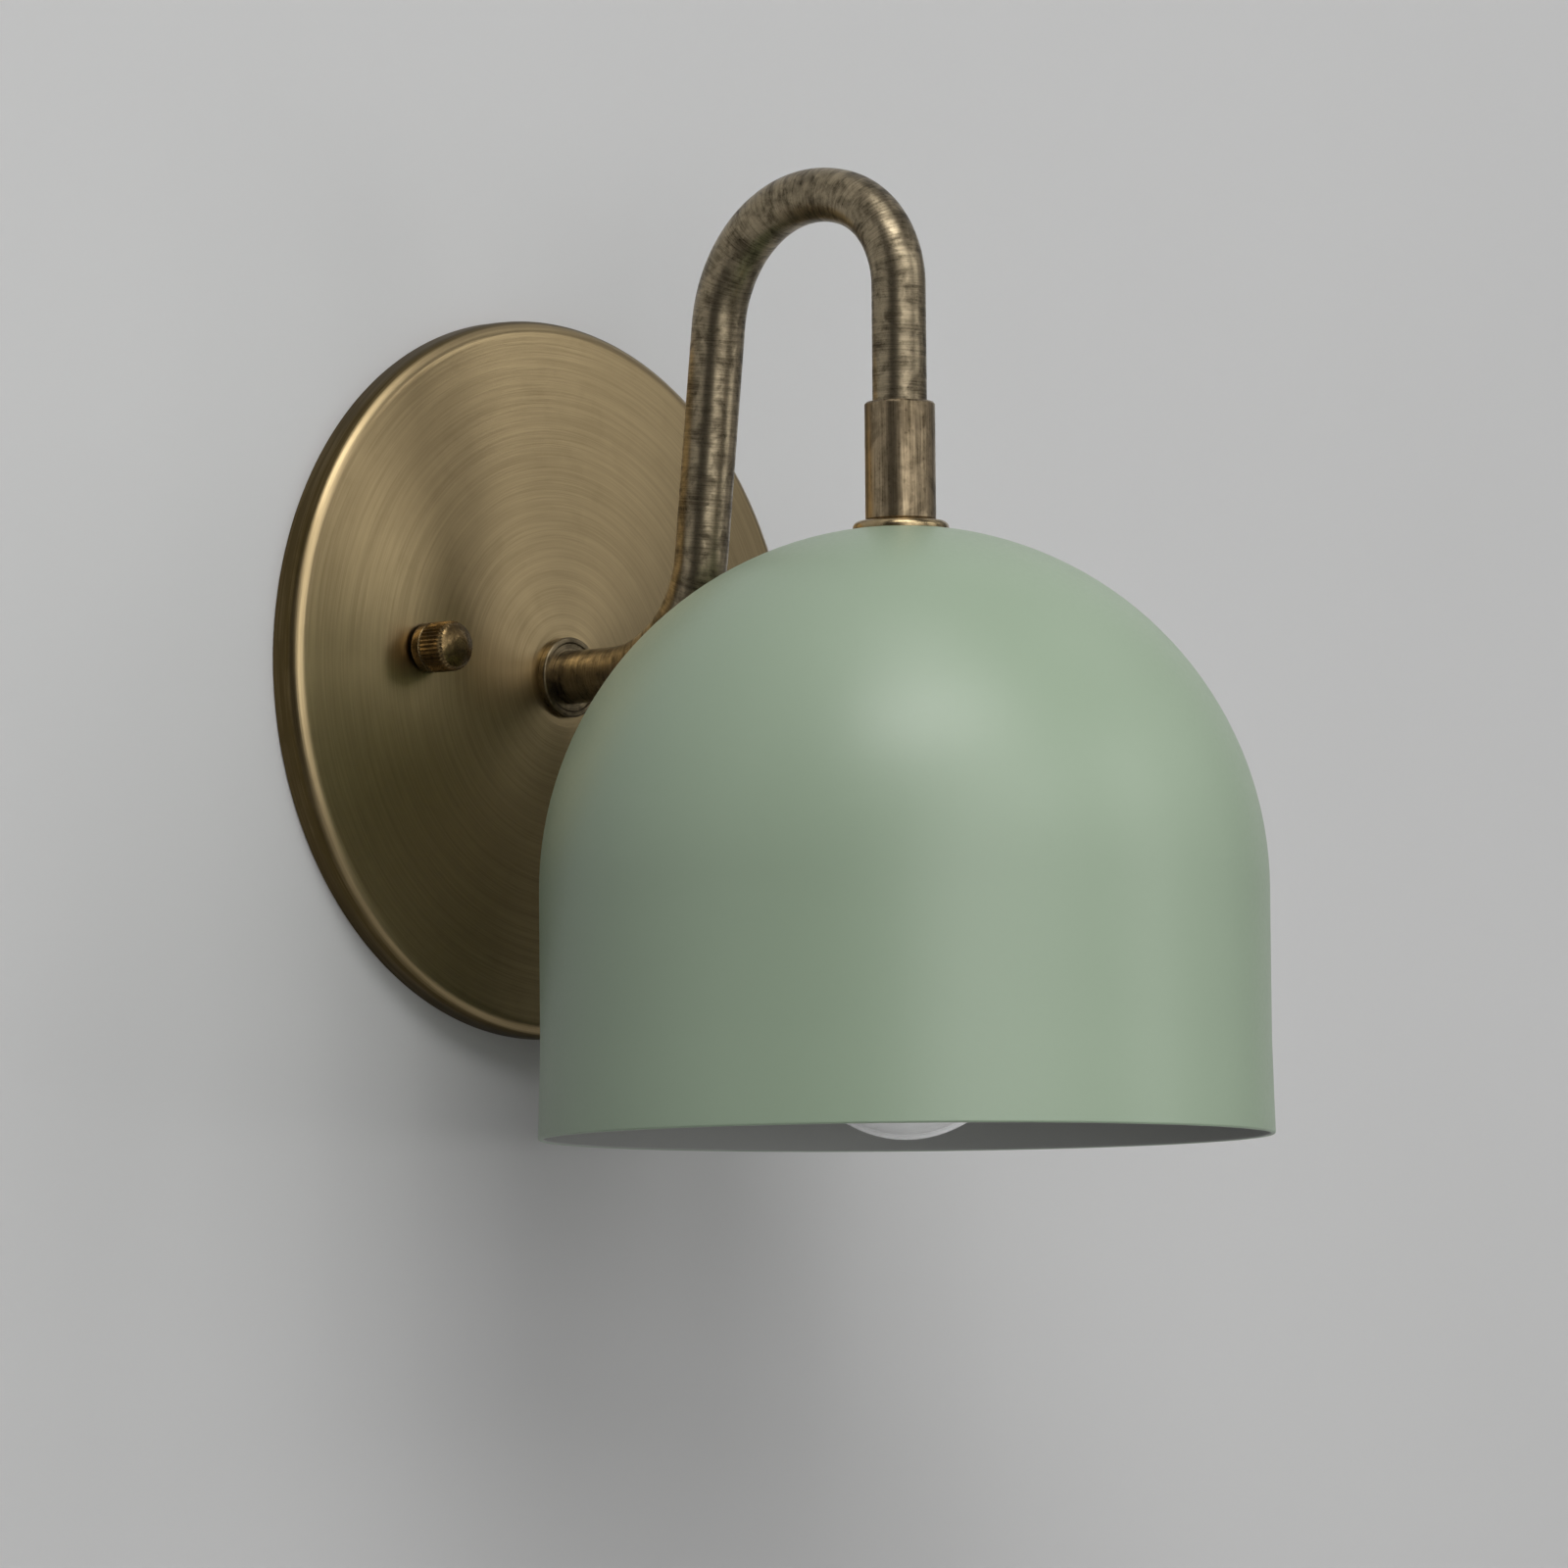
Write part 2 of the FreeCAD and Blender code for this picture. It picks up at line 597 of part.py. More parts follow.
def shade_flange():
    """Thin seating ring with a rounded upper edge."""
    low = SHADE_TOP_Z
    return on_shade_axis(lathe([
        (BORE_R, low, 0), (FLANGE_R, low, FLANGE_FOOT_EDGE), (FLANGE_R, COUPLING_Z, FLANGE_ROUND),
        (BORE_R, COUPLING_Z, 0)]))


def shade():
    """Spun sheet shade: flat seat, hemisphere, straight skirt and a slight flare at the rim."""
    crown_z = SHADE_TOP_Z - math.sqrt(SHADE_R ** 2 - SHADE_FLAT_R ** 2)
    flare_z = SHADE_RIM_Z + SHADE_FLARE_HEIGHT
    inner_r = SHADE_R - SHADE_SHEET
    inner_top = SHADE_TOP_Z - SHADE_SHEET
    inner_flat = math.sqrt(inner_r ** 2 - (inner_top - crown_z) ** 2)

    def point(radius, height):
        return Vector(radius, 0, height)

    def line(a, b):
        return Part.LineSegment(a, b).toShape()

    def dome(radius, flat, top):
        start = math.atan2(top - crown_z, flat)
        middle = point(radius * math.cos(start / 2), crown_z + radius * math.sin(start / 2))
        return Part.Arc(point(flat, top), middle, point(radius, crown_z)).toShape()

    outline = [
        line(point(BORE_R, SHADE_TOP_Z), point(SHADE_FLAT_R, SHADE_TOP_Z)),
        dome(SHADE_R, SHADE_FLAT_R, SHADE_TOP_Z),
        line(point(SHADE_R, crown_z), point(SHADE_R, flare_z)),
        line(point(SHADE_R, flare_z), point(SHADE_R + SHADE_FLARE, SHADE_RIM_Z)),
        line(point(SHADE_R + SHADE_FLARE, SHADE_RIM_Z), point(inner_r + SHADE_FLARE, SHADE_RIM_Z)),
        line(point(inner_r + SHADE_FLARE, SHADE_RIM_Z), point(inner_r, flare_z)),
        line(point(inner_r, flare_z), point(inner_r, crown_z)),
        dome(inner_r, inner_flat, inner_top),
        line(point(inner_flat, inner_top), point(BORE_R, inner_top)),
        line(point(BORE_R, inner_top), point(BORE_R, SHADE_TOP_Z)),
    ]
    face = Part.Face(Part.Wire(outline))
    return on_shade_axis(face.revolve(Vector(0, 0, 0), Z_AXIS, 360))


def shade_washer():
    """Plain washer under the shade's flat top."""
    return on_shade_axis(disc(SHADE_WASHER_R, SHADE_WASHER_THICKNESS, SHADE_NUT_Z, BORE_R))


def shade_lock_nut():
    """Hex pipe nut that clamps the shade."""
    return on_shade_axis(hex_nut(PIPE_NUT_FLATS, PIPE_NUT_HEIGHT, CAP_TOP_Z, BORE_R))


# ---------------------------------------------------------------- lamp holder
def socket_cap():
    """Sheet cap: threaded neck, sloping shoulder and a skirt over the ceramic."""
    shoulder_z = CAP_TOP_Z - CAP_NECK_HEIGHT
    skirt_z = shoulder_z - CAP_SHOULDER_DROP
    foot = CAP_TOP_Z - CAP_SKIRT - CAP_NECK_HEIGHT
    cap = lathe([
        (BORE_R, CAP_TOP_Z, 0),
        (CAP_NECK_R, CAP_TOP_Z, CAP_NECK_EDGE),
        (CAP_NECK_R, shoulder_z, CAP_NECK_FILLET),
        (CAP_R, skirt_z, CAP_SHOULDER_ROUND),
        (CAP_R, foot, CAP_FOOT_EDGE),
        (CAP_R - CAP_SHEET, foot, 0),
        (CAP_R - CAP_SHEET, skirt_z - CAP_SHEET, CAP_SHOULDER_ROUND - CAP_SHEET),
        (CAP_NECK_R - CAP_SHEET, shoulder_z - CAP_SHEET, 0),
        (BORE_R, shoulder_z - CAP_SHEET, 0),
    ])
    cap = cap.cut(set_screw_hole())
    return on_shade_axis(cap)


def set_screw_z():
    """Height of the set screw, in the middle of the cap's neck."""
    return CAP_TOP_Z - NIPPLE_IN_CAP / 2


def set_screw_hole():
    """Radial hole in the cap's neck."""
    return Part.makeCylinder(SET_SCREW_R + THREAD_GAP, CAP_NECK_R, Vector(0, 0, set_screw_z()), Y_AXIS)


def socket_set_screw():
    """Small slotted screw in the side of the neck, its tip on the nipple."""
    tip = TUBE_R + THREAD_GAP / 2
    length = CAP_NECK_R - tip + SET_SCREW_STANDOUT
    screw = Part.makeCylinder(SET_SCREW_R, length, Vector(0, tip, set_screw_z()), Y_AXIS)
    slot = Part.makeBox(SET_SCREW_SLOT, SET_SCREW_SLOT_DEPTH, 2 * SET_SCREW_R,
                        Vector(-SET_SCREW_SLOT / 2, tip + length - SET_SCREW_SLOT_DEPTH,
                               set_screw_z() - SET_SCREW_R))
    return on_shade_axis(screw.cut(slot))


def socket_body():
    """Ceramic holder: a floor, a deep well for the screw shell and a lip under the cap's skirt."""
    top_r = CAP_R - CAP_SHEET - THREAD_GAP
    cap_foot = CAP_TOP_Z - CAP_SKIRT - CAP_NECK_HEIGHT
    lip_top = cap_foot - SEAT_GAP
    lip_foot = lip_top - BODY_LIP_HEIGHT
    body = lathe([
        (0, BODY_TOP_Z, 0),
        (top_r, BODY_TOP_Z, BODY_EDGE),
        (top_r, lip_top, 0),
        (BODY_LIP_R, lip_top, BODY_MOUTH_EDGE),
        (BODY_LIP_R, lip_foot, BODY_EDGE),
        (BODY_UNDER_LIP_R, lip_foot, BODY_EDGE),
        (BODY_FOOT_R, BODY_FOOT_Z, BODY_FOOT_EDGE),
        (BODY_BORE_R, BODY_FOOT_Z, BODY_MOUTH_EDGE),
        (BODY_BORE_R, BODY_FLOOR_Z, 0),
        (0, BODY_FLOOR_Z, 0),
    ])
    return on_shade_axis(body)


def socket_screw_shell():
    """Thin metal sleeve in the ceramic well."""
    return on_shade_axis(disc(SHELL_R + SHELL_SHEET, SHELL_LENGTH, BODY_FLOOR_Z - SHELL_LENGTH, SHELL_R))


def socket_contact():
    """Centre contact: a spring strip that is bent down from the floor to the bulb's tip."""
    half = CONTACT_WIDTH / 2
    drop = CONTACT_DROP + CONTACT_SHEET
    seat_end = -CONTACT_REACH + CONTACT_SEAT
    tip = CONTACT_PAD + CONTACT_LIP
    upper = [(-CONTACT_REACH, 0), (seat_end, 0), (-CONTACT_PAD, -CONTACT_DROP), (tip, -CONTACT_DROP)]
    lower = [(tip, -drop), (-CONTACT_PAD, -drop), (seat_end, -CONTACT_SHEET), (-CONTACT_REACH, -CONTACT_SHEET)]
    points = [Vector(x, -half, BODY_FLOOR_Z + z) for x, z in upper + lower]
    strip = Part.Face(Part.makePolygon(points + points[:1])).extrude(Vector(0, CONTACT_WIDTH, 0))
    return on_shade_axis(strip)


def socket_terminals():
    """Two terminal plates on the ceramic floor, each with its round-head screw."""
    pieces = []
    half = TERMINAL_SIZE / 2
    for side in (-1, 1):
        inner = side * (TERMINAL_X - half - TERMINAL_TAB)
        outer = side * (TERMINAL_X + half)
        low, high = sorted((inner, outer))
        plate = Part.makeBox(high - low, TERMINAL_SIZE, TERMINAL_PLATE, Vector(low, -half, BODY_TOP_Z))
        seat = BODY_TOP_Z + TERMINAL_PLATE
        top = seat + TERMINAL_HEAD_HEIGHT
        screw = lathe([(0, seat, 0), (TERMINAL_HEAD_R, seat, 0), (TERMINAL_HEAD_R, top, TERMINAL_HEAD_ROUND),
                       (0, top, 0)])
        screw = screw.cut(screw_slot(TERMINAL_HEAD_R, TERMINAL_SLOT, TERMINAL_SLOT, top))
        screw.rotate(Vector(0, 0, 0), Z_AXIS, 90)
        screw.translate(Vector(side * TERMINAL_X, 0, 0))
        pieces.append(on_shade_axis(plate.fuse(screw)))
    return Part.makeCompound(pieces)


# ---------------------------------------------------------------- wires
def lead(side):
    """One insulated lead: round the hollow, through the arm and nipple, to its terminal."""
    shift = side * WIRE_SPREAD
    tail_y = -(BAR_THICKNESS + WIRE_GAP + WIRE_R)
    mouth_y = tail_y - WIRE_MOUTH_BEND
    tail = Track(Vector(shift, mouth_y, 0), Y_AXIS)
    tail.bend(WIRE_MOUTH_BEND, 90.0, Z_AXIS * side)
    tail.straight(TAIL_RUN)
    tail.bend(TAIL_BEND_R, TAIL_BEND, Vector(side, 0, 0))
    tail.bend(TAIL_CURL_R, TAIL_CURL, tail.heading.cross(Y_AXIS) * -1)

    run = arm_track(mouth_y, NIPPLE_FOOT_Z - WIRE_R, shift)
    drop = run.at.z - (BODY_TOP_Z + TERMINAL_PLATE + WIRE_GAP)
    out = TERMINAL_X - TERMINAL_HEAD_R - WIRE_R - WIRE_GAP - WIRE_SPREAD
    radius = min(drop, out) * WIRE_END_BEND
    run.bend(radius, 90.0, Vector(side, 0, 0))
    run.straight(out - 2 * radius)
    run.bend(radius, 90.0, Z_AXIS * -1)
    run.straight(drop - 2 * radius)
    return run.pipe(WIRE_R).fuse([tail.pipe(WIRE_R), bare_end(tail)])


# ---------------------------------------------------------------- bulb
def bulb_outline(inset):
    """Half outline of the envelope as a wire from its neck to its foot, moved in by inset."""
    ball = BULB_R - inset
    neck = BULB_NECK_R - inset
    ball_z = BULB_FOOT_Z + BULB_R
    top = BULB_CAP_Z + BULB_IN_CAP
    neck_z = BULB_CAP_Z - BULB_NECK_LENGTH
    wide_z = ball_z + BULB_BELLY
    neck_top = Vector(neck, 0, top)
    neck_foot = Vector(neck, 0, neck_z)
    belly = Vector(ball, 0, wide_z)
    equator = Vector(ball, 0, ball_z)
    foot = Vector(0, 0, ball_z - ball)
    low = Vector(ball * math.sqrt(0.5), 0, ball_z - ball * math.sqrt(0.5))
    half_step = (ball - neck) / 2
    half_drop = (neck_z - wide_z) / 2
    radius = (half_step ** 2 + half_drop ** 2) / (2 * half_step)
    swing = math.asin(half_drop / radius) / 2
    first = Vector(neck + radius * (1 - math.cos(swing)), 0, neck_z - radius * math.sin(swing))
    second = Vector(ball - radius * (1 - math.cos(swing)), 0, wide_z + radius * math.sin(swing))
    middle = (neck_foot + belly) * 0.5
    return [
        Part.LineSegment(neck_top, neck_foot).toShape(),
        Part.Arc(neck_foot, first, middle).toShape(),
        Part.Arc(middle, second, belly).toShape(),
        Part.LineSegment(belly, equator).toShape(),
        Part.Arc(equator, low, foot).toShape(),
    ]


def bulb_glass():
    """Thin clear envelope, open at its neck."""
    outer = bulb_outline(0.0)
    inner = bulb_outline(BULB_GLASS)
    ends = [Part.LineSegment(outer[-1].Vertexes[-1].Point, inner[-1].Vertexes[-1].Point).toShape(),
            Part.LineSegment(outer[0].Vertexes[0].Point, inner[0].Vertexes[0].Point).toShape()]
    wire = Part.Wire(Part.__sortEdges__(outer + inner + ends))
    return on_shade_axis(Part.Face(wire).revolve(Vector(0, 0, 0), Z_AXIS, 360))


def bulb_cap():
    """Screw cap of the bulb: a sheet cup round the neck."""
    inner = BULB_CAP_R - BULB_CAP_SHEET
    under = BULB_CAP_TOP_Z - BULB_CAP_SHEET
    return on_shade_axis(lathe([
        (BULB_CAP_HOLE_R, BULB_CAP_TOP_Z, 0), (BULB_CAP_R, BULB_CAP_TOP_Z, BULB_CAP_ROUND),
        (BULB_CAP_R, BULB_CAP_Z, 0), (inner, BULB_CAP_Z, 0),
        (inner, under, BULB_CAP_ROUND - BULB_CAP_SHEET), (BULB_CAP_HOLE_R, under, 0)]))


def bulb_insulator():
    """Black glass cone between the cap and the tip."""
    top = BULB_CAP_TOP_Z + BULB_INSULATOR_HEIGHT
    return on_shade_axis(lathe([
        (0, top, 0), (BULB_INSULATOR_TOP_R, top, BULB_INSULATOR_ROUND),
        (BULB_INSULATOR_R, BULB_CAP_TOP_Z, BULB_INSULATOR_ROUND / 2), (0, BULB_CAP_TOP_Z, 0)]))


def bulb_tip():
    """Soldered centre contact."""
    foot = BULB_TIP_Z - BULB_TIP_HEIGHT
    return on_shade_axis(lathe([(0, foot, 0), (BULB_TIP_R, foot, 0), (BULB_TIP_R, BULB_TIP_Z, BULB_TIP_ROUND),
                                (0, BULB_TIP_Z, 0)]))


def bulb_stem():
    """Flared glass stem that carries the filaments."""
    foot = BULB_CAP_Z - BULB_STEM_DROP
    tip = foot - BULB_STEM_LENGTH
    seat = BULB_NECK_R - BULB_GLASS - THREAD_GAP
    return on_shade_axis(lathe([
        (0, foot, 0), (seat, foot, 0),
        (BULB_STEM_FOOT_R, foot - BULB_STEM_FLANGE, BULB_STEM_ROUND),
        (BULB_STEM_R, foot - BULB_STEM_FLARE, BULB_STEM_ROUND),
        (BULB_STEM_R, tip + BULB_STEM_TIP + BULB_STEM_TAPER, BULB_STEM_ROUND),
        (BULB_STEM_TIP_R, tip + BULB_STEM_TIP, BULB_STEM_TIP_R),
        (BULB_STEM_TIP_R, tip, BULB_STEM_TIP_R / 2), (0, tip, 0)]))


def filament_ends(k):
    """Upper and lower end of one filament stick."""
    turn = math.radians(360.0 * (k + 0.5) / FILAMENT_COUNT)
    high = BULB_CAP_Z - BULB_NECK_LENGTH - FILAMENT_DROP
    ray = Vector(math.cos(turn), math.sin(turn), 0)
    slope = FILAMENT_FOOT_R - FILAMENT_TOP_R
    low = high - math.sqrt(FILAMENT_LENGTH ** 2 - slope ** 2)
    return ray * FILAMENT_TOP_R + Vector(0, 0, high), ray * FILAMENT_FOOT_R + Vector(0, 0, low)


def bulb_filaments():
    """Filament sticks that spread downwards round the stem."""
    sticks = []
    for k in range(FILAMENT_COUNT):
        high, low = filament_ends(k)
        sticks.append(on_shade_axis(Part.makeCylinder(FILAMENT_R, FILAMENT_LENGTH, low, high - low)))
    return Part.makeCompound(sticks)


def bulb_lead_wires():
    """Support wires from the stem to both ends of each stick."""
    stem_tip = BULB_CAP_Z - BULB_STEM_DROP - BULB_STEM_LENGTH
    wires = []
    for k in range(FILAMENT_COUNT):
        high, low = filament_ends(k)
        along = (high - low).normalize()
        high = high + along * LEAD_GAP
        low = low - along * LEAD_GAP
        root = Vector(high.x, high.y, 0).normalize() * (BULB_STEM_R + LEAD_R + THREAD_GAP)
        root.z = high.z + LEAD_RISE
        hook = Vector(0, 0, low.z - LEAD_DROP)
        for start, end in ((high, root), (low, hook)):
            wires.append(Part.makeCylinder(LEAD_R, (end - start).Length, start, end - start))
    post_z = filament_ends(0)[1].z - LEAD_DROP - LEAD_R * 2
    wires.append(Part.makeCylinder(LEAD_R * 1.4, stem_tip - post_z, Vector(0, 0, post_z)))
    return on_shade_axis(wires[0].multiFuse(wires[1:]))


# ---------------------------------------------------------------- build
PIECES = {
    "back_plate": back_plate,
    "crossbar": crossbar,
    "canopy_studs": canopy_studs,
    "stud_lock_nuts": stud_lock_nuts,
    "cap_nut_left": lambda: cap_nut(-1),
    "cap_nut_right": lambda: cap_nut(1),
    "ground_screw": ground_screw,
    "ground_lug": ground_lug,
    "wire_ground": wire_ground,
    "arm_seat_ring": arm_seat_ring,
    "arm_lock_washer": arm_lock_washer,
    "arm_lock_nut": arm_lock_nut,
    "arm_tube": arm_tube,
    "coupling": coupling,
    "threaded_nipple": threaded_nipple,
    "shade_flange": shade_flange,
    "shade": shade,
    "shade_washer": shade_washer,
    "shade_lock_nut": shade_lock_nut,
    "socket_cap": socket_cap,
    "socket_set_screw": socket_set_screw,
    "socket_body": socket_body,
    "socket_screw_shell": socket_screw_shell,
    "socket_contact": socket_contact,
    "socket_terminals": socket_terminals,
    "wire_live": lambda: lead(1),
    "wire_neutral": lambda: lead(-1),
    "bulb_glass": bulb_glass,
    "bulb_cap": bulb_cap,
    "bulb_insulator": bulb_insulator,
    "bulb_tip": bulb_tip,
    "bulb_stem": bulb_stem,
    "bulb_filaments": bulb_filaments,
    "bulb_lead_wires": bulb_lead_wires,
}


def main():
    """Build every piece and write it out."""
    os.makedirs("parts", exist_ok=True)
    for node, make in PIECES.items():
        solid = make()
        if not solid.isValid():
            print("invalid shape:", node)
        print(f"{node:20s} solids {len(solid.Solids)}  volume {solid.Volume:10.2f}")
        solid.exportStep(f"parts/{node}.step")


main()
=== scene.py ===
"""Gooseneck wall sconce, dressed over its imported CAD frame.

Pieces are modelled in millimetres in the frame of the CAD: the origin is the centre of the back plate
on the wall, the lamp stands out along -Y and +Z is up. Each finished mesh is brought to metres.
"""
import logging
import math
from collections.abc import Callable, Sequence
from dataclasses import dataclass
from enum import Enum

import bpy
from bpy.types import Material, Node, NodeTree
from bpy.types import NodeSocket as Socket
from bpy.types import Object as Piece
from mathutils import Matrix, Vector


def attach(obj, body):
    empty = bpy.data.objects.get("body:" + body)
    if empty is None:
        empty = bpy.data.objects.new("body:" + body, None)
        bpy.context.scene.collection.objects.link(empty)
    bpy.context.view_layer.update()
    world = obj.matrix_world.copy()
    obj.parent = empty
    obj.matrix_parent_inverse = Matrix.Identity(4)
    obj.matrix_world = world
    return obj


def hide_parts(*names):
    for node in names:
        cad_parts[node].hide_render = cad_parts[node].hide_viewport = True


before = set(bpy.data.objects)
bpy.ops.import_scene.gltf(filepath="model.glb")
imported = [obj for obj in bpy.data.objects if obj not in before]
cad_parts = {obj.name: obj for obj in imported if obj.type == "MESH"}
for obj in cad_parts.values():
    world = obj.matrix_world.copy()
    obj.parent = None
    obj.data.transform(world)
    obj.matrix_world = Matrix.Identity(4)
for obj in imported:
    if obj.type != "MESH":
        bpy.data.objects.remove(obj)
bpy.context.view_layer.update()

LOG = logging.getLogger("sconce")
FULL_TURN = 2.0 * math.pi
SHADE_Y = -93.4           # axis of the shade, from the wall
PIPE_BORE = 4.96          # clears the pipe thread of the arm and of the nipple
PIPE_NUT_FLATS = 14.3
NUT_THICK = 3.0
WELD = 0.004              # points of a turned piece that are nearer than this, in millimetres, are one
ROOT, BULB = "root", "bulb"


# ---------------------------------------------------------------- modelling by hand
class Axis(Enum):
    """Which way the spindle of a turned piece points."""

    UP = "up"
    OUT = "out of the wall"


@dataclass(frozen=True)
class Spindle:
    """Axis on which a piece is turned, with its profile drawn beside it."""

    axis: Axis = Axis.UP
    x: float = 0.0
    across: float = SHADE_Y

    def point(self, radius: float, height: float) -> Vector:
        """Place of a profile point: its distance from the axis and its height along it."""
        if self.axis is Axis.UP:
            return Vector((self.x + radius, self.across, height))
        return Vector((self.x + radius, -height, self.across))

    def line(self) -> Vector:
        """Direction of the axis."""
        return Vector((0, 0, 1)) if self.axis is Axis.UP else Vector((0, 1, 0))

    def square(self) -> Vector:
        """Direction square to the plane of the profile."""
        return Vector((0, 1, 0)) if self.axis is Axis.UP else Vector((0, 0, 1))


ON_SHADE = Spindle()
ON_PLATE = Spindle(Axis.OUT, 0.0, 0.0)
AT_ORIGIN = Spindle(Axis.UP, 0.0, 0.0)


@dataclass(frozen=True)
class Stop:
    """A point of a profile: sharp, rounded, or reached on an arc about a centre."""

    radius: float
    height: float
    rounding: float = 0.0
    about: tuple[float, float] | None = None


def select_none() -> None:
    """Leave edit mode and deselect everything."""
    if bpy.context.object and bpy.context.object.mode != "OBJECT":
        bpy.ops.object.mode_set(mode="OBJECT")
    bpy.ops.object.select_all(action="DESELECT")


def take(obj: Piece) -> None:
    """Make one object the only selected and active one, in object mode."""
    select_none()
    obj.select_set(True)
    bpy.context.view_layer.objects.active = obj


def edit(obj: Piece) -> None:
    """Enter edit mode on one object with everything selected."""
    take(obj)
    bpy.ops.object.mode_set(mode="EDIT")
    bpy.ops.mesh.select_all(action="SELECT")


def pick_points(obj: Piece, test: Callable[[Vector], bool]) -> None:
    """Select in edit mode the points that pass a test of their place, in millimetres."""
    edit(obj)
    bpy.ops.mesh.select_mode(type="VERT")
    bpy.ops.mesh.select_all(action="DESELECT")
    bpy.ops.object.mode_set(mode="OBJECT")
    for point in obj.data.vertices:
        point.select = test(point.co)
    bpy.ops.object.mode_set(mode="EDIT")


def apply_modifier(obj: Piece, kind: str, **settings: object) -> None:
    """Add a modifier with its settings and apply it."""
    take(obj)
    modifier = obj.modifiers.new(kind.title(), kind)
    for name, value in settings.items():
        setattr(modifier, name, value)
    bpy.ops.object.modifier_apply(modifier=modifier.name)


def named(name: str) -> Piece:
    """Name the primitive that was just added, and return it."""
    obj = bpy.context.object
    obj.name = obj.data.name = name
    return obj


def settle(obj: Piece) -> Piece:
    """Carry a piece's place, turn and size into its mesh, and return it."""
    take(obj)
    bpy.ops.object.transform_apply(location=True, rotation=True, scale=True)
    return obj


def close_mesh(merge: float = 0.0) -> None:
    """In edit mode, merge points nearer than so many millimetres, turn all faces outwards, and leave."""
    bpy.ops.mesh.select_all(action="SELECT")
    if merge:
        bpy.ops.mesh.remove_doubles(threshold=merge)
    bpy.ops.mesh.normals_make_consistent(inside=False)
    bpy.ops.object.mode_set(mode="OBJECT")


def break_edges(obj: Piece, width: float, angle: float) -> None:
    """Bevel the edges between faces that meet at more than an angle in degrees."""
    apply_modifier(obj, "BEVEL", width=width, segments=2, limit_method="ANGLE", angle_limit=math.radians(angle))


def second_finish(obj: Piece, test: Callable[[Vector, Vector], bool]) -> None:
    """Give the second material to the faces whose middle and normal pass a test."""
    for face in obj.data.polygons:
        face.material_index = int(test(face.center, face.normal))


class Pen:
    """Draws a profile in edit mode, run by run, and spins it into a turned piece."""

    def __init__(self, name: str, spindle: Spindle, start: Stop) -> None:
        """Put the first point down beside the spindle."""
        select_none()
        self.spindle = spindle
        self.at = (start.radius, start.height)
        bpy.ops.mesh.primitive_plane_add(size=1.0, location=spindle.point(*self.at))
        self.obj = settle(named(name))
        bpy.ops.object.mode_set(mode="EDIT")
        bpy.ops.mesh.select_mode(type="VERT")
        bpy.ops.mesh.select_all(action="SELECT")
        bpy.ops.mesh.merge(type="CENTER")

    def line(self, radius: float, height: float) -> None:
        """Extrude the last point straight to a new place."""
        step = self.spindle.point(radius, height) - self.spindle.point(*self.at)
        if step.length > 1e-6:
            bpy.ops.mesh.extrude_vertices_move(TRANSFORM_OT_translate={"value": step})
        self.at = (radius, height)

    def arc(self, radius: float, height: float, centre: tuple[float, float], fine: float) -> None:
        """Spin the last point about a centre to a new place.

        Args:
            radius: Distance of the arc's end from the spindle.
            height: Height of the arc's end.
            centre: Radius and height of the arc's centre.
            fine: Most degrees that one step of the arc may take.
        """
        middle = self.spindle.point(*centre)
        start = self.spindle.point(*self.at) - middle
        end = self.spindle.point(radius, height) - middle
        axis = self.spindle.square()
        angle = math.atan2(axis.dot(start.cross(end)), start.dot(end))
        steps = max(2, math.ceil(abs(math.degrees(angle)) / fine))
        bpy.ops.mesh.spin(steps=steps, angle=-angle, center=middle, axis=axis)
        self.at = (radius, height)

    def turn(self, steps: int) -> Piece:
        """Spin the whole profile about the spindle into a closed mesh."""
        bpy.ops.mesh.select_all(action="SELECT")
        bpy.ops.mesh.spin(steps=steps, angle=FULL_TURN, center=self.spindle.point(0, 0),
                          axis=self.spindle.line())
        close_mesh(merge=WELD)
        return self.obj


def corner_run(before: Stop, corner: Stop, after: Stop) -> tuple[Vector, Vector, Vector]:
    """Start, end and centre of the arc that rounds a corner of a profile."""
    here = Vector((corner.radius, corner.height))
    back = (Vector((before.radius, before.height)) - here).normalized()
    ahead = (Vector((after.radius, after.height)) - here).normalized()
    half = back.angle(ahead) / 2
    reach = corner.rounding / math.tan(half)
    bisector = (back + ahead).normalized()
    return here + back * reach, here + ahead * reach, here + bisector * corner.rounding / math.sin(half)


def turned(name: str, spindle: Spindle, outline: Sequence[Stop], steps: int = 128,
           fine: float = 11.25, shut: bool = True) -> Piece:
    """Turn a piece from the stops of its profile.

    Args:
        name: Name of the new object.
        spindle: Axis that it is turned on.
        outline: Stops in order.
        steps: Faces round the piece.
        fine: Most degrees that one step of a rounded corner may take.
        shut: Whether a profile whose ends are off the axis is closed.

    Returns:
        The new object with its faces outwards.
    """
    pen = Pen(name, spindle, outline[0])
    closed = shut and outline[0].radius > 0 and outline[-1].radius > 0
    stops = list(outline[1:]) + ([outline[0]] if closed else [])
    for k, stop in enumerate(stops):
        if stop.about:
            pen.arc(stop.radius, stop.height, stop.about, fine)
        elif stop.rounding > 0:
            start, end, centre = corner_run(outline[k], stop, stops[k + 1])
            pen.line(start.x, start.y)
            pen.arc(end.x, end.y, (centre.x, centre.y), fine)
        else:
            pen.line(stop.radius, stop.height)
    return pen.turn(steps)


def stand(obj: Piece, spindle: Spindle) -> Piece:
    """Carry a piece that was made upright at the origin to a spindle, and return it."""
    if spindle.axis is Axis.OUT:
        obj.rotation_euler.x = math.pi / 2
    obj.location = spindle.point(0.0, 0.0)
    return settle(obj)


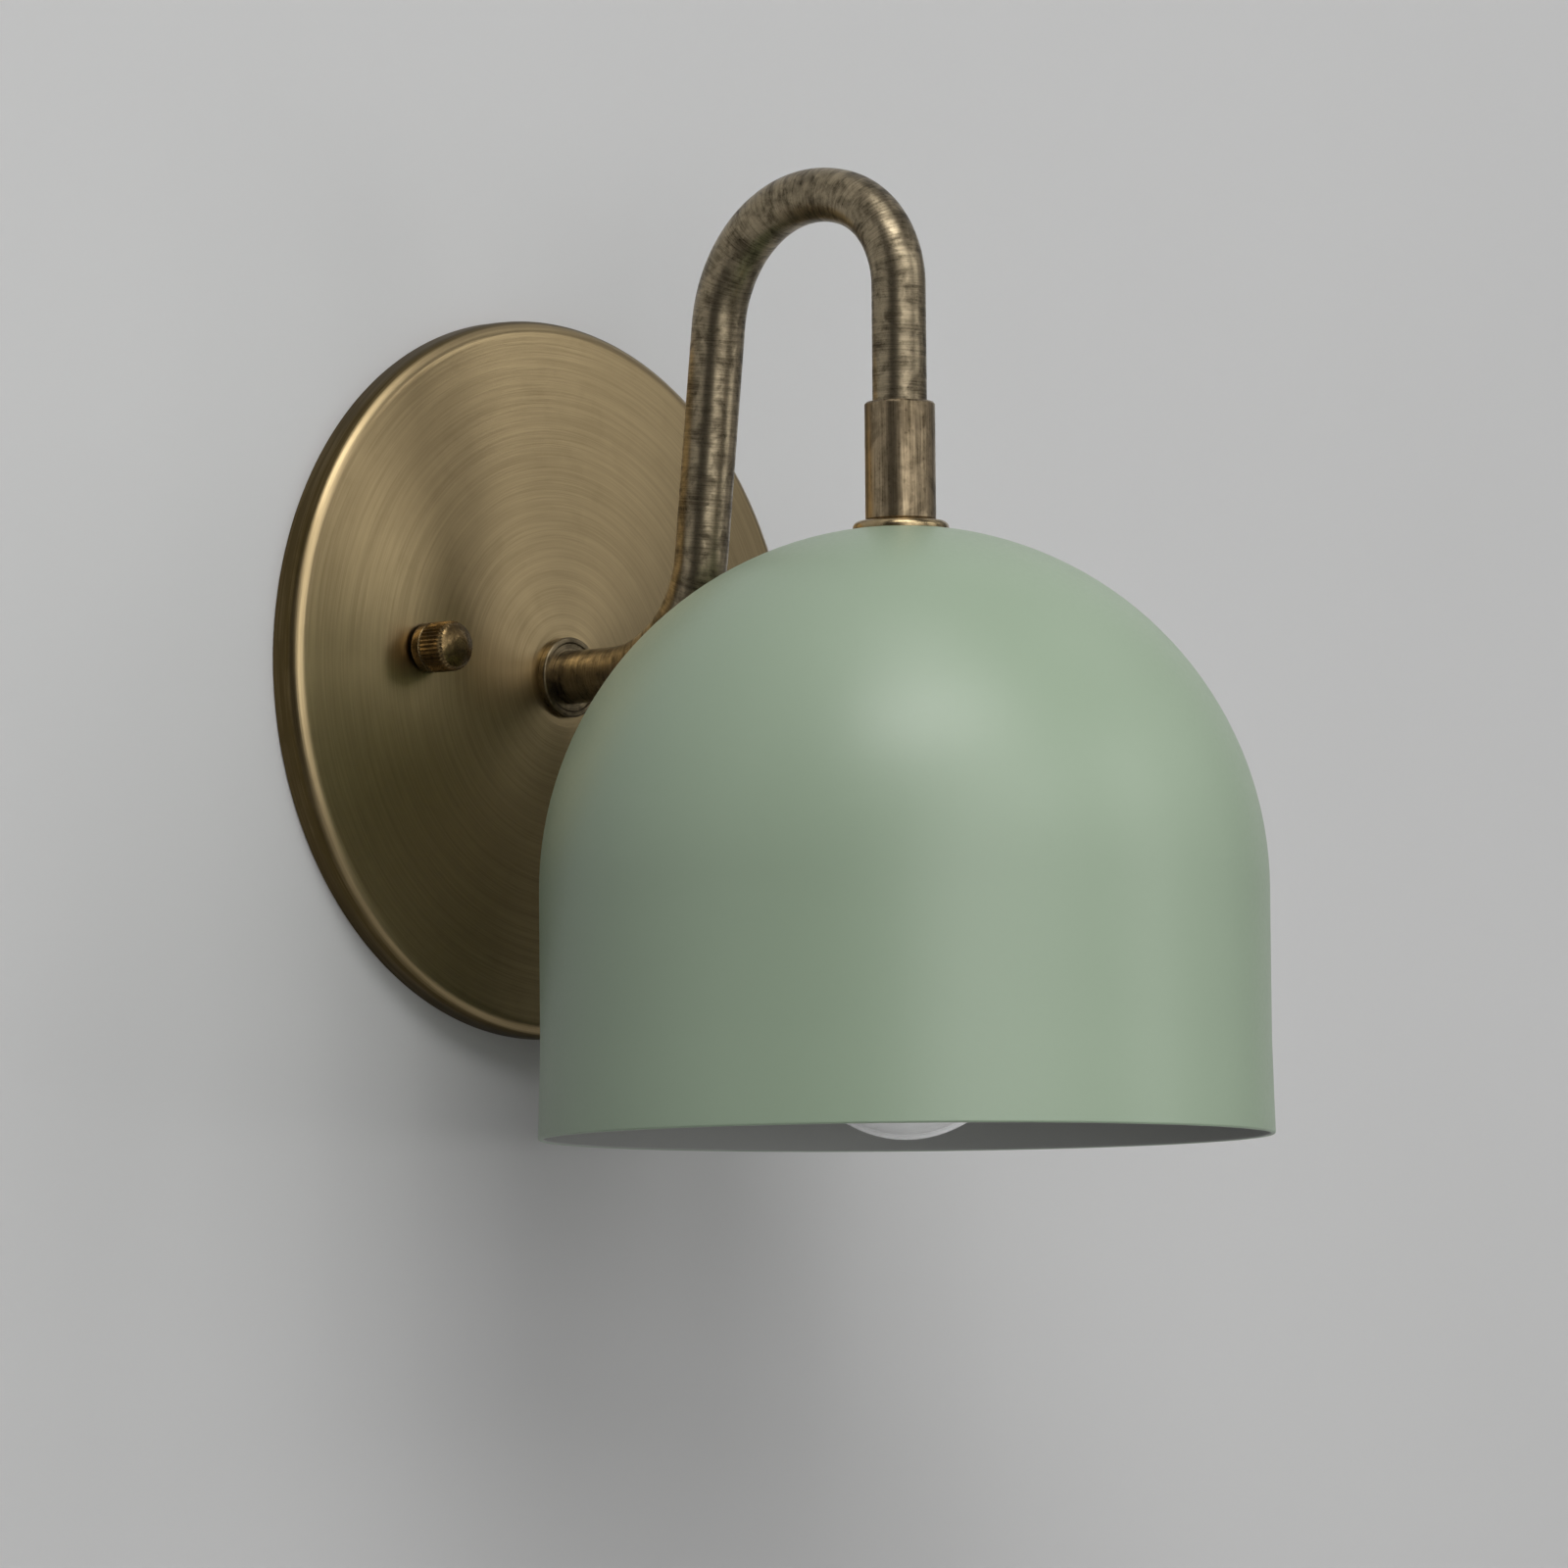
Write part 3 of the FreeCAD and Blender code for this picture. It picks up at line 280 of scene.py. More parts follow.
def combine(obj: Piece, tool: Piece, how: str = "DIFFERENCE") -> None:
    """Apply a boolean with another piece, which is used up."""
    apply_modifier(obj, "BOOLEAN", operation=how, object=tool, solver="EXACT")
    bpy.data.objects.remove(tool)


def joined(parts: Sequence[Piece]) -> Piece:
    """Make one piece of several and return it."""
    take(parts[0])
    for part in parts[1:]:
        part.select_set(True)
    bpy.ops.object.join()
    return parts[0]


def copy_of(obj: Piece) -> Piece:
    """A copy of a piece with its own mesh."""
    twin = bpy.data.objects.new(obj.name, obj.data.copy())
    bpy.context.collection.objects.link(twin)
    return twin


def drum(spindle: Spindle, radius: float, low: float, high: float, steps: int = 64) -> Piece:
    """Round bar that cuts a bore."""
    return turned("bore", spindle, [Stop(0, low), Stop(radius, low), Stop(radius, high), Stop(0, high)], steps)


def flat_ring(name: str, spindle: Spindle, radius: float, low: float, high: float) -> Piece:
    """Washer with rounded outer edges that fits the pipe thread."""
    edge = 0.15
    return turned(name, spindle, [Stop(PIPE_BORE, low), Stop(radius, low, edge), Stop(radius, high, edge),
                                  Stop(PIPE_BORE, high)], steps=96)


def block(place: Vector, size: tuple[float, float, float], turn: float = 0.0) -> Piece:
    """Box that cuts a slot, turned about the line out of the wall by some degrees."""
    select_none()
    bpy.ops.mesh.primitive_cube_add(size=1.0, location=place, scale=size, rotation=(0, math.radians(turn), 0))
    return settle(bpy.context.object)


class ThreadForm(Enum):
    """One pitch of a thread: share of its depth against share of its pitch."""

    SHARP = ((0.0, 0.1), (1.0, 0.45), (1.0, 0.55), (0.0, 0.9), (0.0, 1.0))
    ROLLED = tuple((0.5 - 0.5 * math.cos(FULL_TURN * k / 10), k / 10) for k in range(1, 11))


@dataclass(frozen=True)
class Thread:
    """A screw thread by its radii, its pitch and how its ends run out."""

    root: float
    crest: float
    pitch: float
    taper: float = 0.0
    form: ThreadForm = ThreadForm.SHARP
    around: int = 40

    def cut(self, name: str, low: float, high: float) -> Piece:
        """A threaded bar, upright at the origin.

        Args:
            name: Name of the new object.
            low: Height of its foot.
            high: Height of its top.

        Returns:
            The bar, its ends chamfered where the thread has a taper.
        """
        spare = 0.3 if self.taper else 0.0
        foot, length = 1.07 * self.pitch, high - low + 2 * spare
        pen = Pen(name, AT_ORIGIN, Stop(self.root, 0.0))
        for depth, rise in self.form.value:
            pen.line(self.root + depth * (self.crest - self.root), rise * self.pitch)
        bar = pen.obj
        apply_modifier(bar, "SCREW", axis="Z", angle=FULL_TURN, screw_offset=self.pitch,
                       iterations=math.ceil(length / self.pitch) + 2, steps=self.around, render_steps=self.around,
                       use_merge_vertices=True, merge_threshold=0.001)
        edit(bar)
        bpy.ops.mesh.remove_doubles(threshold=0.002)
        for height, below in ((foot, True), (foot + length, False)):
            bpy.ops.mesh.select_all(action="SELECT")
            bpy.ops.mesh.bisect(plane_co=(0, 0, height), plane_no=(0, 0, 1), use_fill=True,
                                clear_inner=below, clear_outer=not below)
        close_mesh()
        bar.location.z = low - spare - foot
        settle(bar)
        if self.taper:
            thin, wide = self.root - 0.02, self.crest + 0.02
            rise = self.taper
            combine(bar, turned("envelope", AT_ORIGIN, [
                Stop(0, low), Stop(thin, low), Stop(wide, low + rise), Stop(wide, high - rise), Stop(thin, high),
                Stop(0, high)], steps=self.around * 2), "INTERSECT")
        return bar


def hex_nut(name: str, spindle: Spindle, flats: float, low: float, height: float, bore: float) -> Piece:
    """Hex nut with chamfered corners and a countersunk bore.

    Args:
        name: Name of the new object.
        spindle: Axis that it sits on.
        flats: Width across its flats.
        low: Height of its foot.
        height: Its thickness.
        bore: Radius of its bore.

    Returns:
        The nut.
    """
    high, corner, face, sink = low + height, flats / math.sqrt(3), flats * 0.485, 0.25
    drop = (corner - face) * math.tan(math.radians(30))
    nut = turned(name, spindle, [
        Stop(bore, low + sink), Stop(bore, high - sink), Stop(bore + sink, high), Stop(face, high),
        Stop(corner, high - drop), Stop(corner + 0.2, high - drop), Stop(corner + 0.2, low + drop),
        Stop(corner, low + drop), Stop(face, low), Stop(bore + sink, low)], steps=72)
    select_none()
    bpy.ops.mesh.primitive_cylinder_add(vertices=6, radius=corner, depth=height + 2,
                                        location=(0, 0, low + height / 2), rotation=(0, 0, math.radians(30)))
    combine(nut, stand(settle(bpy.context.object), spindle), "INTERSECT")
    break_edges(nut, 0.1, 35)
    return nut


# ---------------------------------------------------------------- shader trees
class Tree:
    """Short calls to add, set and link the nodes of one shader tree."""

    def __init__(self, tree: NodeTree) -> None:
        """Wrap a tree."""
        self.tree = tree

    def add(self, kind: str, inputs: dict[str | int, object] | None = None, **settings: object) -> Node:
        """Add a node, set its properties, then set or link its inputs.

        Args:
            kind: Node type without its ShaderNode prefix.
            inputs: Values or output sockets for the node's inputs.
            settings: Properties of the node.

        Returns:
            The new node.
        """
        node = self.tree.nodes.new("ShaderNode" + kind)
        for name, value in settings.items():
            setattr(node, name, value)
        for name, value in (inputs or {}).items():
            self.feed(node.inputs[name], value)
        return node

    def feed(self, socket: Socket, value: object) -> None:
        """Link an output socket to an input, or set the input's own value."""
        if isinstance(value, Socket):
            self.tree.links.new(value, socket)
        else:
            socket.default_value = value

    def math(self, operation: str, a: object, b: object = 0.0) -> Socket:
        """One math node; returns its value."""
        return self.add("Math", {0: a, 1: b}, operation=operation).outputs[0]

    def plus(self, a: object, b: object) -> Socket:
        """Sum of two values."""
        return self.math("ADD", a, b)

    def times(self, a: object, b: object) -> Socket:
        """Product of two values."""
        return self.math("MULTIPLY", a, b)

    def length(self, a: object, b: object) -> Socket:
        """Length of the slant over two legs."""
        return self.math("SQRT", self.plus(self.times(a, a), self.times(b, b)))

    def vector(self, operation: str, a: object, b: Sequence[float]) -> Socket:
        """One vector math node; returns its vector."""
        return self.add("VectorMath", {0: a, 1: b}, operation=operation).outputs[0]

    def surface(self, shader: Socket) -> None:
        """Make a shader the surface of the material."""
        self.feed(self.add("OutputMaterial").inputs[0], shader)

    def ramp(self, value: object, low: float, high: float, a: object = 0.0, b: object = 1.0) -> Socket:
        """Map a value smoothly from low..high to a..b."""
        node = self.add("MapRange", {"Value": value, "From Min": low, "From Max": high, "To Min": a, "To Max": b},
                        interpolation_type="SMOOTHSTEP")
        return node.outputs["Result"]

    def blend(self, share: object, a: object, b: object) -> Socket:
        """Mix two colours by a share."""
        node = self.add("Mix", data_type="RGBA")
        for name, value in ((0, share), (6, a), (7, b)):
            self.feed(node.inputs[name], value)
        return node.outputs[2]

    def noise(self, place: object, scale: object, detail: float, rough: float = 0.5,
              distortion: float = 0.0) -> Socket:
        """Value of a noise texture."""
        return self.add("TexNoise", {"Vector": place, "Scale": scale, "Detail": detail, "Roughness": rough,
                                     "Distortion": distortion}).outputs[0]


Given = bpy.types.bpy_prop_collection


def effect(name: str, numbers: Sequence[str], fill: Callable[[Tree, Given], Socket]) -> NodeTree:
    """A named node group from a place and some numbers to one value, built the first time it is asked for.

    Args:
        name: Name of the effect.
        numbers: Names of its inputs after Place.
        fill: Builds the nodes from the group's inputs and returns its value.

    Returns:
        The node group.
    """
    known = bpy.data.node_groups.get(name)
    if known:
        return known
    group = bpy.data.node_groups.new(name, "ShaderNodeTree")
    group.interface.new_socket("Place", in_out="INPUT", socket_type="NodeSocketVector")
    for label in numbers:
        group.interface.new_socket(label, in_out="INPUT", socket_type="NodeSocketFloat")
    group.interface.new_socket("Value", in_out="OUTPUT", socket_type="NodeSocketFloat")
    start, end = group.nodes.new("NodeGroupInput"), group.nodes.new("NodeGroupOutput")
    tree = Tree(group)
    tree.feed(end.inputs[0], fill(tree, start.outputs))
    return group


def brush_lines() -> NodeTree:
    """Fine and coarse abrasive lines on a place that is already stretched along the strokes."""

    def fill(tree: Tree, given: Given) -> Socket:
        fine = tree.noise(given["Place"], given["Fine"], 2.0, 0.6)
        coarse = tree.noise(given["Place"], given["Coarse"], 4.0, 0.65)
        return tree.ramp(tree.plus(tree.times(fine, 0.45), tree.times(coarse, 0.55)), 0.34, 0.66)

    return effect("brush_lines", ["Fine", "Coarse"], fill)


def tarnish() -> NodeTree:
    """Cloudy darkening of an aged metal, with small specks in it."""

    def fill(tree: Tree, given: Given) -> Socket:
        cloud = tree.noise(given["Place"], given["Size"], 5.0, 0.6, 0.4)
        specks = tree.noise(given["Place"], tree.times(given["Size"], 9.0), 3.0)
        both = tree.plus(tree.ramp(cloud, 0.38, 0.66), tree.times(tree.ramp(specks, 0.55, 0.72), 0.35))
        return tree.math("MINIMUM", tree.times(both, given["Amount"]), 1.0)

    return effect("tarnish", ["Size", "Amount"], fill)


def skin() -> NodeTree:
    """Slight waviness and grain of a sprayed, cast or glazed surface."""

    def fill(tree: Tree, given: Given) -> Socket:
        wave = tree.noise(given["Place"], given["Scale"], 1.0)
        grain = tree.noise(given["Place"], tree.times(given["Scale"], 6.0), 2.0)
        return tree.plus(tree.times(wave, 0.7), tree.times(grain, 0.3))

    return effect("skin", ["Scale"], fill)


def use(tree: Tree, group: NodeTree, **values: object) -> Socket:
    """Place an effect in a material with its own values and return its only output."""
    node = tree.tree.nodes.new("ShaderNodeGroup")
    node.node_tree = group
    for name, value in values.items():
        tree.feed(node.inputs[name], value)
    return node.outputs[0]


# ---------------------------------------------------------------- finishes
Colour = tuple[float, float, float]


def rgba(colour: Colour) -> tuple[float, float, float, float]:
    """A colour with full opacity."""
    return (*colour, 1.0)


def blank_material(name: str) -> tuple[Material, Tree]:
    """A new material and its empty tree."""
    made = bpy.data.materials.new(name)
    made.use_nodes = True
    made.node_tree.nodes.clear()
    return made, Tree(made.node_tree)


class Strokes(Enum):
    """How the abrasive went over a brushed metal."""

    PLATE_RINGS = "rings about the middle of the back plate"
    SHADE_RINGS = "rings about the axis of the shade"
    SHADE_LENGTH = "along the axis of the shade"
    ROUND_TUBE = "round the unbent tube"
    ALL_WAYS = "no direction"


@dataclass(frozen=True)
class Finish:
    """What every finish has: a name and the shader that its surface ends in."""

    name: str
    slot: str = ""               # the record's material slot, where its name differs

    def material(self) -> Material:
        """The finish as a material, built the first time it is asked for."""
        title = self.name + "_finish"    # the frame's own plain materials already have the bare names
        known = bpy.data.materials.get(title)
        if known:
            return known
        made, tree = blank_material(title)
        shader = tree.add("BsdfPrincipled")
        self.dress(tree, shader)
        tree.surface(shader.outputs[0])
        return made

    def dress(self, tree: Tree, shader: Node) -> None:
        """Feed the shader. Each kind of finish has its own way."""
        raise NotImplementedError

    def bump(self, tree: Tree, shader: Node, height: object, depth_mm: float) -> None:
        """Raise the surface by a height of so many millimetres."""
        node = tree.add("Bump", {"Height": height, "Distance": depth_mm / 1000})
        tree.feed(shader.inputs["Normal"], node.outputs[0])


def object_place(tree: Tree, centre_mm: Colour = (0.0, 0.0, 0.0)) -> Socket:
    """Object coordinates in millimetres from a centre."""
    scaled = tree.vector("MULTIPLY", tree.add("TexCoord").outputs["Object"], (1000.0,) * 3)
    return tree.vector("SUBTRACT", scaled, centre_mm)


def stretched(tree: Tree, strokes: Strokes) -> Socket:
    """A place for noise that is drawn out along the strokes."""
    if strokes is Strokes.ROUND_TUBE:
        return tree.vector("MULTIPLY", tree.add("Attribute", attribute_name="unbent").outputs["Vector"],
                           (0.06, 0.06, 1.0))
    on_plate = strokes is Strokes.PLATE_RINGS
    place = object_place(tree, (0.0, 0.0 if on_plate else SHADE_Y, 0.0))
    if strokes is Strokes.ALL_WAYS:
        return place
    if strokes is Strokes.SHADE_LENGTH:
        return tree.vector("MULTIPLY", place, (1.0, 1.0, 0.04))
    x, y, z = tree.add("SeparateXYZ", {0: place}).outputs
    a, b, height = (x, z, y) if on_plate else (x, y, z)
    return tree.add("CombineXYZ", {0: tree.plus(tree.length(a, b), height), 1: tree.times(a, 0.02),
                                   2: tree.times(b, 0.02)}).outputs[0]


@dataclass(frozen=True)
class BrushedMetal(Finish):
    """Brushed or drawn metal: stroke lines in colour, gloss and relief over cloudy tarnish, with painted shade at a
    plate's rim.
    """

    bright: Colour = (0.5, 0.4, 0.25)
    dark: Colour = (0.1, 0.07, 0.04)
    strokes: Strokes = Strokes.ALL_WAYS
    fine: float = 6.0            # lines to the millimetre, about
    coarse: float = 1.2
    line_share: float = 0.35     # how much the lines darken the colour
    tarnish_size: float = 0.12
    tarnish_share: float = 0.5
    gloss: tuple[float, float] = (0.28, 0.42)
    relief_mm: float = 0.004
    anisotropy: float = 0.0
    rim_shade: tuple[float, float, float] = (0.0, 0.0, 0.0)   # painted shade on a plate's rim: radii over which it darkens, and how much

    def dress(self, tree: Tree, shader: Node) -> None:
        """Metal from its strokes and its tarnish, and painted shade at a plate's rim where one is given."""
        strokes = stretched(tree, self.strokes)
        lines = use(tree, brush_lines(), Place=strokes, Fine=self.fine, Coarse=self.coarse)
        dull = use(tree, tarnish(), Place=object_place(tree), Size=self.tarnish_size, Amount=self.tarnish_share)
        dark = tree.plus(tree.times(tree.math("SUBTRACT", 1.0, lines), self.line_share), dull)
        # painted shade: the plate's rim darkens between two radii
        start, end, share = self.rim_shade
        if share:
            x, _, z = tree.add("SeparateXYZ", {0: object_place(tree)}).outputs
            dark = tree.plus(dark, tree.ramp(tree.length(x, z), start, end, 0.0, share))
        colour = tree.blend(tree.math("MINIMUM", dark, 1.0), rgba(self.bright), rgba(self.dark))
        tree.feed(shader.inputs["Base Color"], colour)
        shader.inputs["Metallic"].default_value = 1.0
        low, high = self.gloss
        tree.feed(shader.inputs["Roughness"], tree.ramp(dark, 0.0, 1.0, low, high))
        if self.anisotropy:
            shader.inputs["Anisotropic"].default_value = self.anisotropy
            axis = "Y" if self.strokes is Strokes.PLATE_RINGS else "Z"
            tree.feed(shader.inputs["Tangent"], tree.add("Tangent", direction_type="RADIAL", axis=axis).outputs[0])
        self.bump(tree, shader, lines, self.relief_mm)


@dataclass(frozen=True)
class Paint(Finish):
    """Sprayed satin paint with a faint orange peel."""

    colour: Colour = (0.3, 0.4, 0.3)
    drift: float = 0.06          # slow change of tone over the surface
    gloss: float = 0.42
    peel_mm: float = 0.012
    peel_scale: float = 1.1
    sheen: float = 0.5           # level of the mirror part; 0.5 is plain varnish

    def dress(self, tree: Tree, shader: Node) -> None:
        """Paint colour with a slow drift, and its peel."""
        place = object_place(tree)
        slow = tree.noise(place, 0.02, 2.0, 0.55)
        tone = tuple(c * (1 - self.drift) for c in self.colour)
        tree.feed(shader.inputs["Base Color"], tree.blend(slow, rgba(self.colour), rgba(tone)))
        shader.inputs["Specular IOR Level"].default_value = self.sheen
        peel = use(tree, skin(), Place=place, Scale=self.peel_scale)
        tree.feed(shader.inputs["Roughness"], tree.ramp(peel, 0.3, 0.7, self.gloss - 0.03, self.gloss + 0.03))
        self.bump(tree, shader, peel, self.peel_mm)


@dataclass(frozen=True)
class Glass(Finish):
    """Clear blown glass with slow ripples."""

    tint: Colour = (0.98, 0.99, 0.98)
    gloss: float = 0.02

    def dress(self, tree: Tree, shader: Node) -> None:
        """Thin clear glass."""
        place = object_place(tree)
        ripple = use(tree, skin(), Place=place, Scale=0.05)
        tree.feed(shader.inputs["Base Color"], tree.blend(ripple, rgba(self.tint), rgba((1.0, 1.0, 1.0))))
        tree.feed(shader.inputs["Roughness"], tree.ramp(ripple, 0.2, 0.8, 0.0, self.gloss))
        shader.inputs["Transmission Weight"].default_value = 1.0
        shader.inputs["IOR"].default_value = 1.46
        self.bump(tree, shader, ripple, 0.02)


@dataclass(frozen=True)
class Solid(Finish):
    """Plain dielectric: ceramic, plastic insulation or coated filament, with a fine skin."""

    colour: Colour = (0.8, 0.8, 0.8)
    shade: Colour = (0.7, 0.7, 0.7)
    gloss: float = 0.35
    scale: float = 0.8
    relief_mm: float = 0.01

    def dress(self, tree: Tree, shader: Node) -> None:
        """One colour with a faint second tone in its skin."""
        place = object_place(tree)
        grain = use(tree, skin(), Place=place, Scale=self.scale)
        tree.feed(shader.inputs["Base Color"], tree.blend(tree.ramp(grain, 0.35, 0.65), rgba(self.colour),
                                                          rgba(self.shade)))
        tree.feed(shader.inputs["Roughness"], tree.ramp(grain, 0.3, 0.7, self.gloss - 0.04, self.gloss + 0.04))
        self.bump(tree, shader, grain, self.relief_mm)


# the plate's rim gets painted shade over radii 65.4 to 66.3 mm
PLATE_BRASS = BrushedMetal("plate_brass", bright=(0.45, 0.345, 0.19), dark=(0.10, 0.07, 0.026),
                           strokes=Strokes.PLATE_RINGS, fine=3.0, coarse=1.0, line_share=0.26,
                           tarnish_size=0.02, tarnish_share=0.15, gloss=(0.30, 0.42), relief_mm=0.008,
                           anisotropy=0.75, rim_shade=(65.4, 66.3, 0.8))
PLATE_BACK = BrushedMetal("plate_back", bright=(0.42, 0.34, 0.2), dark=(0.12, 0.085, 0.045),
                          strokes=Strokes.PLATE_RINGS, fine=3.0, coarse=0.6, tarnish_size=0.05,
                          tarnish_share=0.7, gloss=(0.4, 0.6))
ARM_BRASS = BrushedMetal("aged_brass", bright=(0.375, 0.308, 0.203), dark=(0.035, 0.026, 0.015),
                         strokes=Strokes.ROUND_TUBE, fine=3.4, coarse=1.5, line_share=0.42,
                         tarnish_size=0.3, tarnish_share=0.5, gloss=(0.3, 0.44), relief_mm=0.012)
COUPLING_BRASS = BrushedMetal("coupling_brass", slot="aged_brass", bright=(0.43, 0.335, 0.212),
                              dark=(0.055, 0.04, 0.022), strokes=Strokes.SHADE_LENGTH, fine=2.6, coarse=0.8,
                              line_share=0.5, tarnish_size=0.16, tarnish_share=0.45, gloss=(0.3, 0.42),
                              relief_mm=0.008)
RING_BRASS = BrushedMetal("ring_brass", slot="aged_brass", bright=(0.27, 0.215, 0.13), dark=(0.03, 0.022, 0.013),
                          strokes=Strokes.PLATE_RINGS, fine=4.0, coarse=1.2, line_share=0.4,
                          tarnish_size=0.3, tarnish_share=0.5, gloss=(0.3, 0.42))
NUT_BRASS = BrushedMetal("nut_brass", slot="aged_brass", bright=(0.24, 0.165, 0.075), dark=(0.03, 0.019, 0.008),
                         fine=3.0, coarse=1.0, line_share=0.3, tarnish_size=0.35, tarnish_share=0.6,
                         gloss=(0.24, 0.42), relief_mm=0.008)
FLANGE_BRASS = BrushedMetal("bright_brass", bright=(0.46, 0.355, 0.20), dark=(0.14, 0.10, 0.05),
                            strokes=Strokes.SHADE_RINGS, fine=5.0, coarse=1.8, line_share=0.35,
                            tarnish_size=0.3, tarnish_share=0.35, gloss=(0.22, 0.34))
STUD_BRASS = BrushedMetal("stud_brass", slot="brass_stud", bright=(0.66, 0.52, 0.28), dark=(0.3, 0.2, 0.09), fine=3.0,
                          gloss=(0.25, 0.4))
CONTACT_BRASS = BrushedMetal("contact_brass", bright=(0.72, 0.56, 0.3), dark=(0.4, 0.27, 0.12), fine=3.0,
                             gloss=(0.22, 0.35))
ZINC = BrushedMetal("zinc_steel", bright=(0.62, 0.62, 0.6), dark=(0.34, 0.34, 0.34), fine=2.0, coarse=0.3,
                    tarnish_size=0.25, tarnish_share=0.4, gloss=(0.28, 0.45))
CAP_NICKEL = BrushedMetal("cap_metal", bright=(0.66, 0.63, 0.58), dark=(0.4, 0.37, 0.33),
                          strokes=Strokes.SHADE_RINGS, fine=4.0, coarse=0.8, gloss=(0.22, 0.34))
SHELL_METAL = BrushedMetal("shell_metal", bright=(0.76, 0.76, 0.74), dark=(0.5, 0.5, 0.49),
                           strokes=Strokes.SHADE_RINGS, fine=5.0, coarse=1.0, gloss=(0.25, 0.4))
BULB_METAL = BrushedMetal("bulb_metal", bright=(0.74, 0.73, 0.7), dark=(0.46, 0.45, 0.43),
                          strokes=Strokes.SHADE_RINGS, fine=5.0, coarse=1.0, gloss=(0.2, 0.34))
TINNED = BrushedMetal("tinned_lug", bright=(0.72, 0.71, 0.68), dark=(0.48, 0.46, 0.42), fine=2.0,
                      gloss=(0.3, 0.45))
SOLDER = BrushedMetal("solder", bright=(0.62, 0.62, 0.61), dark=(0.36, 0.36, 0.36), fine=1.5, coarse=0.4,
                      gloss=(0.35, 0.5), relief_mm=0.05)
LEAD_METAL = BrushedMetal("lead_metal", bright=(0.62, 0.6, 0.57), dark=(0.38, 0.36, 0.34), fine=4.0,
                          gloss=(0.2, 0.35))
COPPER = BrushedMetal("bare_copper", bright=(0.72, 0.36, 0.2), dark=(0.4, 0.17, 0.09), fine=3.0,
                      gloss=(0.25, 0.4))
GREEN_SCREW = BrushedMetal("green_screw", bright=(0.05, 0.3, 0.1), dark=(0.02, 0.13, 0.04), fine=2.5,
                           gloss=(0.25, 0.4))
SAGE = Paint("sage_paint", colour=(0.36, 0.459, 0.332), sheen=0.65, gloss=0.39)
# painted shadow: the white paint inside the shade is set to the mid grey it shows in the dome's shadow
SHADOWED_LINING = Paint("shade_lining", colour=(0.50, 0.51, 0.49), gloss=0.5, drift=0.03)
PORCELAIN = Solid("porcelain", colour=(0.83, 0.82, 0.78), shade=(0.76, 0.75, 0.7), gloss=0.16, scale=0.25,
                  relief_mm=0.03)
BLACK_WIRE = Solid("wire_black", colour=(0.02, 0.02, 0.02), shade=(0.035, 0.035, 0.035), gloss=0.45, scale=2.0)
WHITE_WIRE = Solid("wire_white", colour=(0.8, 0.8, 0.77), shade=(0.7, 0.7, 0.66), gloss=0.45, scale=2.0)
GREEN_WIRE = Solid("wire_green", colour=(0.03, 0.28, 0.09), shade=(0.02, 0.2, 0.06), gloss=0.45, scale=2.0)
BLACK_GLASS = Solid("black_glass", colour=(0.015, 0.015, 0.02), shade=(0.03, 0.03, 0.035), gloss=0.12, scale=0.4)
PHOSPHOR = Solid("filament_coat", colour=(0.86, 0.62, 0.16), shade=(0.74, 0.5, 0.12), gloss=0.6, scale=2.5,
                 relief_mm=0.06)
CLEAR = Glass("clear_glass")


# ---------------------------------------------------------------- finishing a piece
def finish_piece(obj: Piece, node: str, *finishes: Finish, body: str = ROOT,
                 smooth: float = 32.0) -> Piece:
    """Bring a modelled piece to metres, smooth and dress it, and tie it to the frame.

    Args:
        obj: The piece, in millimetres.
        node: The CAD node that it stands for.
        finishes: Its materials, in the order of its material indices.
        body: The CAD body that it moves with.
        smooth: Degrees between two faces past which their edge stays sharp.

    Returns:
        The same object.
    """
    obj.scale = (0.001, 0.001, 0.001)
    return dress_piece(settle(obj), node, finishes, body, smooth)


def dress_piece(obj: Piece, node: str, finishes: Sequence[Finish], body: str, smooth: float) -> Piece:
    """Smooth and dress a piece that is in metres and tie it to the frame; arguments as for finish_piece."""
    take(obj)
    bpy.ops.object.shade_smooth_by_angle(angle=math.radians(smooth))
    for finish in finishes:
        if finish.material().name not in obj.data.materials:
            obj.data.materials.append(finish.material())
    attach(obj, body)
    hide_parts(node)
    LOG.info("%s: %d faces on %s", obj.name, len(obj.data.polygons), body)
    return obj


def carry(node: str, *finishes: Finish, body: str = ROOT, smooth: float = 35.0,
          second: Callable[[Vector, Vector], bool] | None = None) -> Piece:
    """Finish a merged copy of a CAD node whose shape is right.

    Args:
        node: The CAD node.
        finishes: Its one or two materials.
        body: The CAD body that it moves with.
        smooth: Degrees between two faces past which their edge stays sharp.
        second: Tells from a face's middle, in metres, and normal whether it has the second material.

    Returns:
        The copy.
    """
    obj = bpy.data.objects.new(node + "_finished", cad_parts[node].data.copy())
    bpy.context.collection.objects.link(obj)
    obj.data.materials.clear()
    take(obj)
    bpy.ops.mesh.customdata_custom_splitnormals_clear()
    edit(obj)
    bpy.ops.mesh.remove_doubles(threshold=1e-6)
    bpy.ops.object.mode_set(mode="OBJECT")
    second_finish(obj, second or (lambda middle, normal: False))
    return dress_piece(obj, node, finishes, body, smooth)


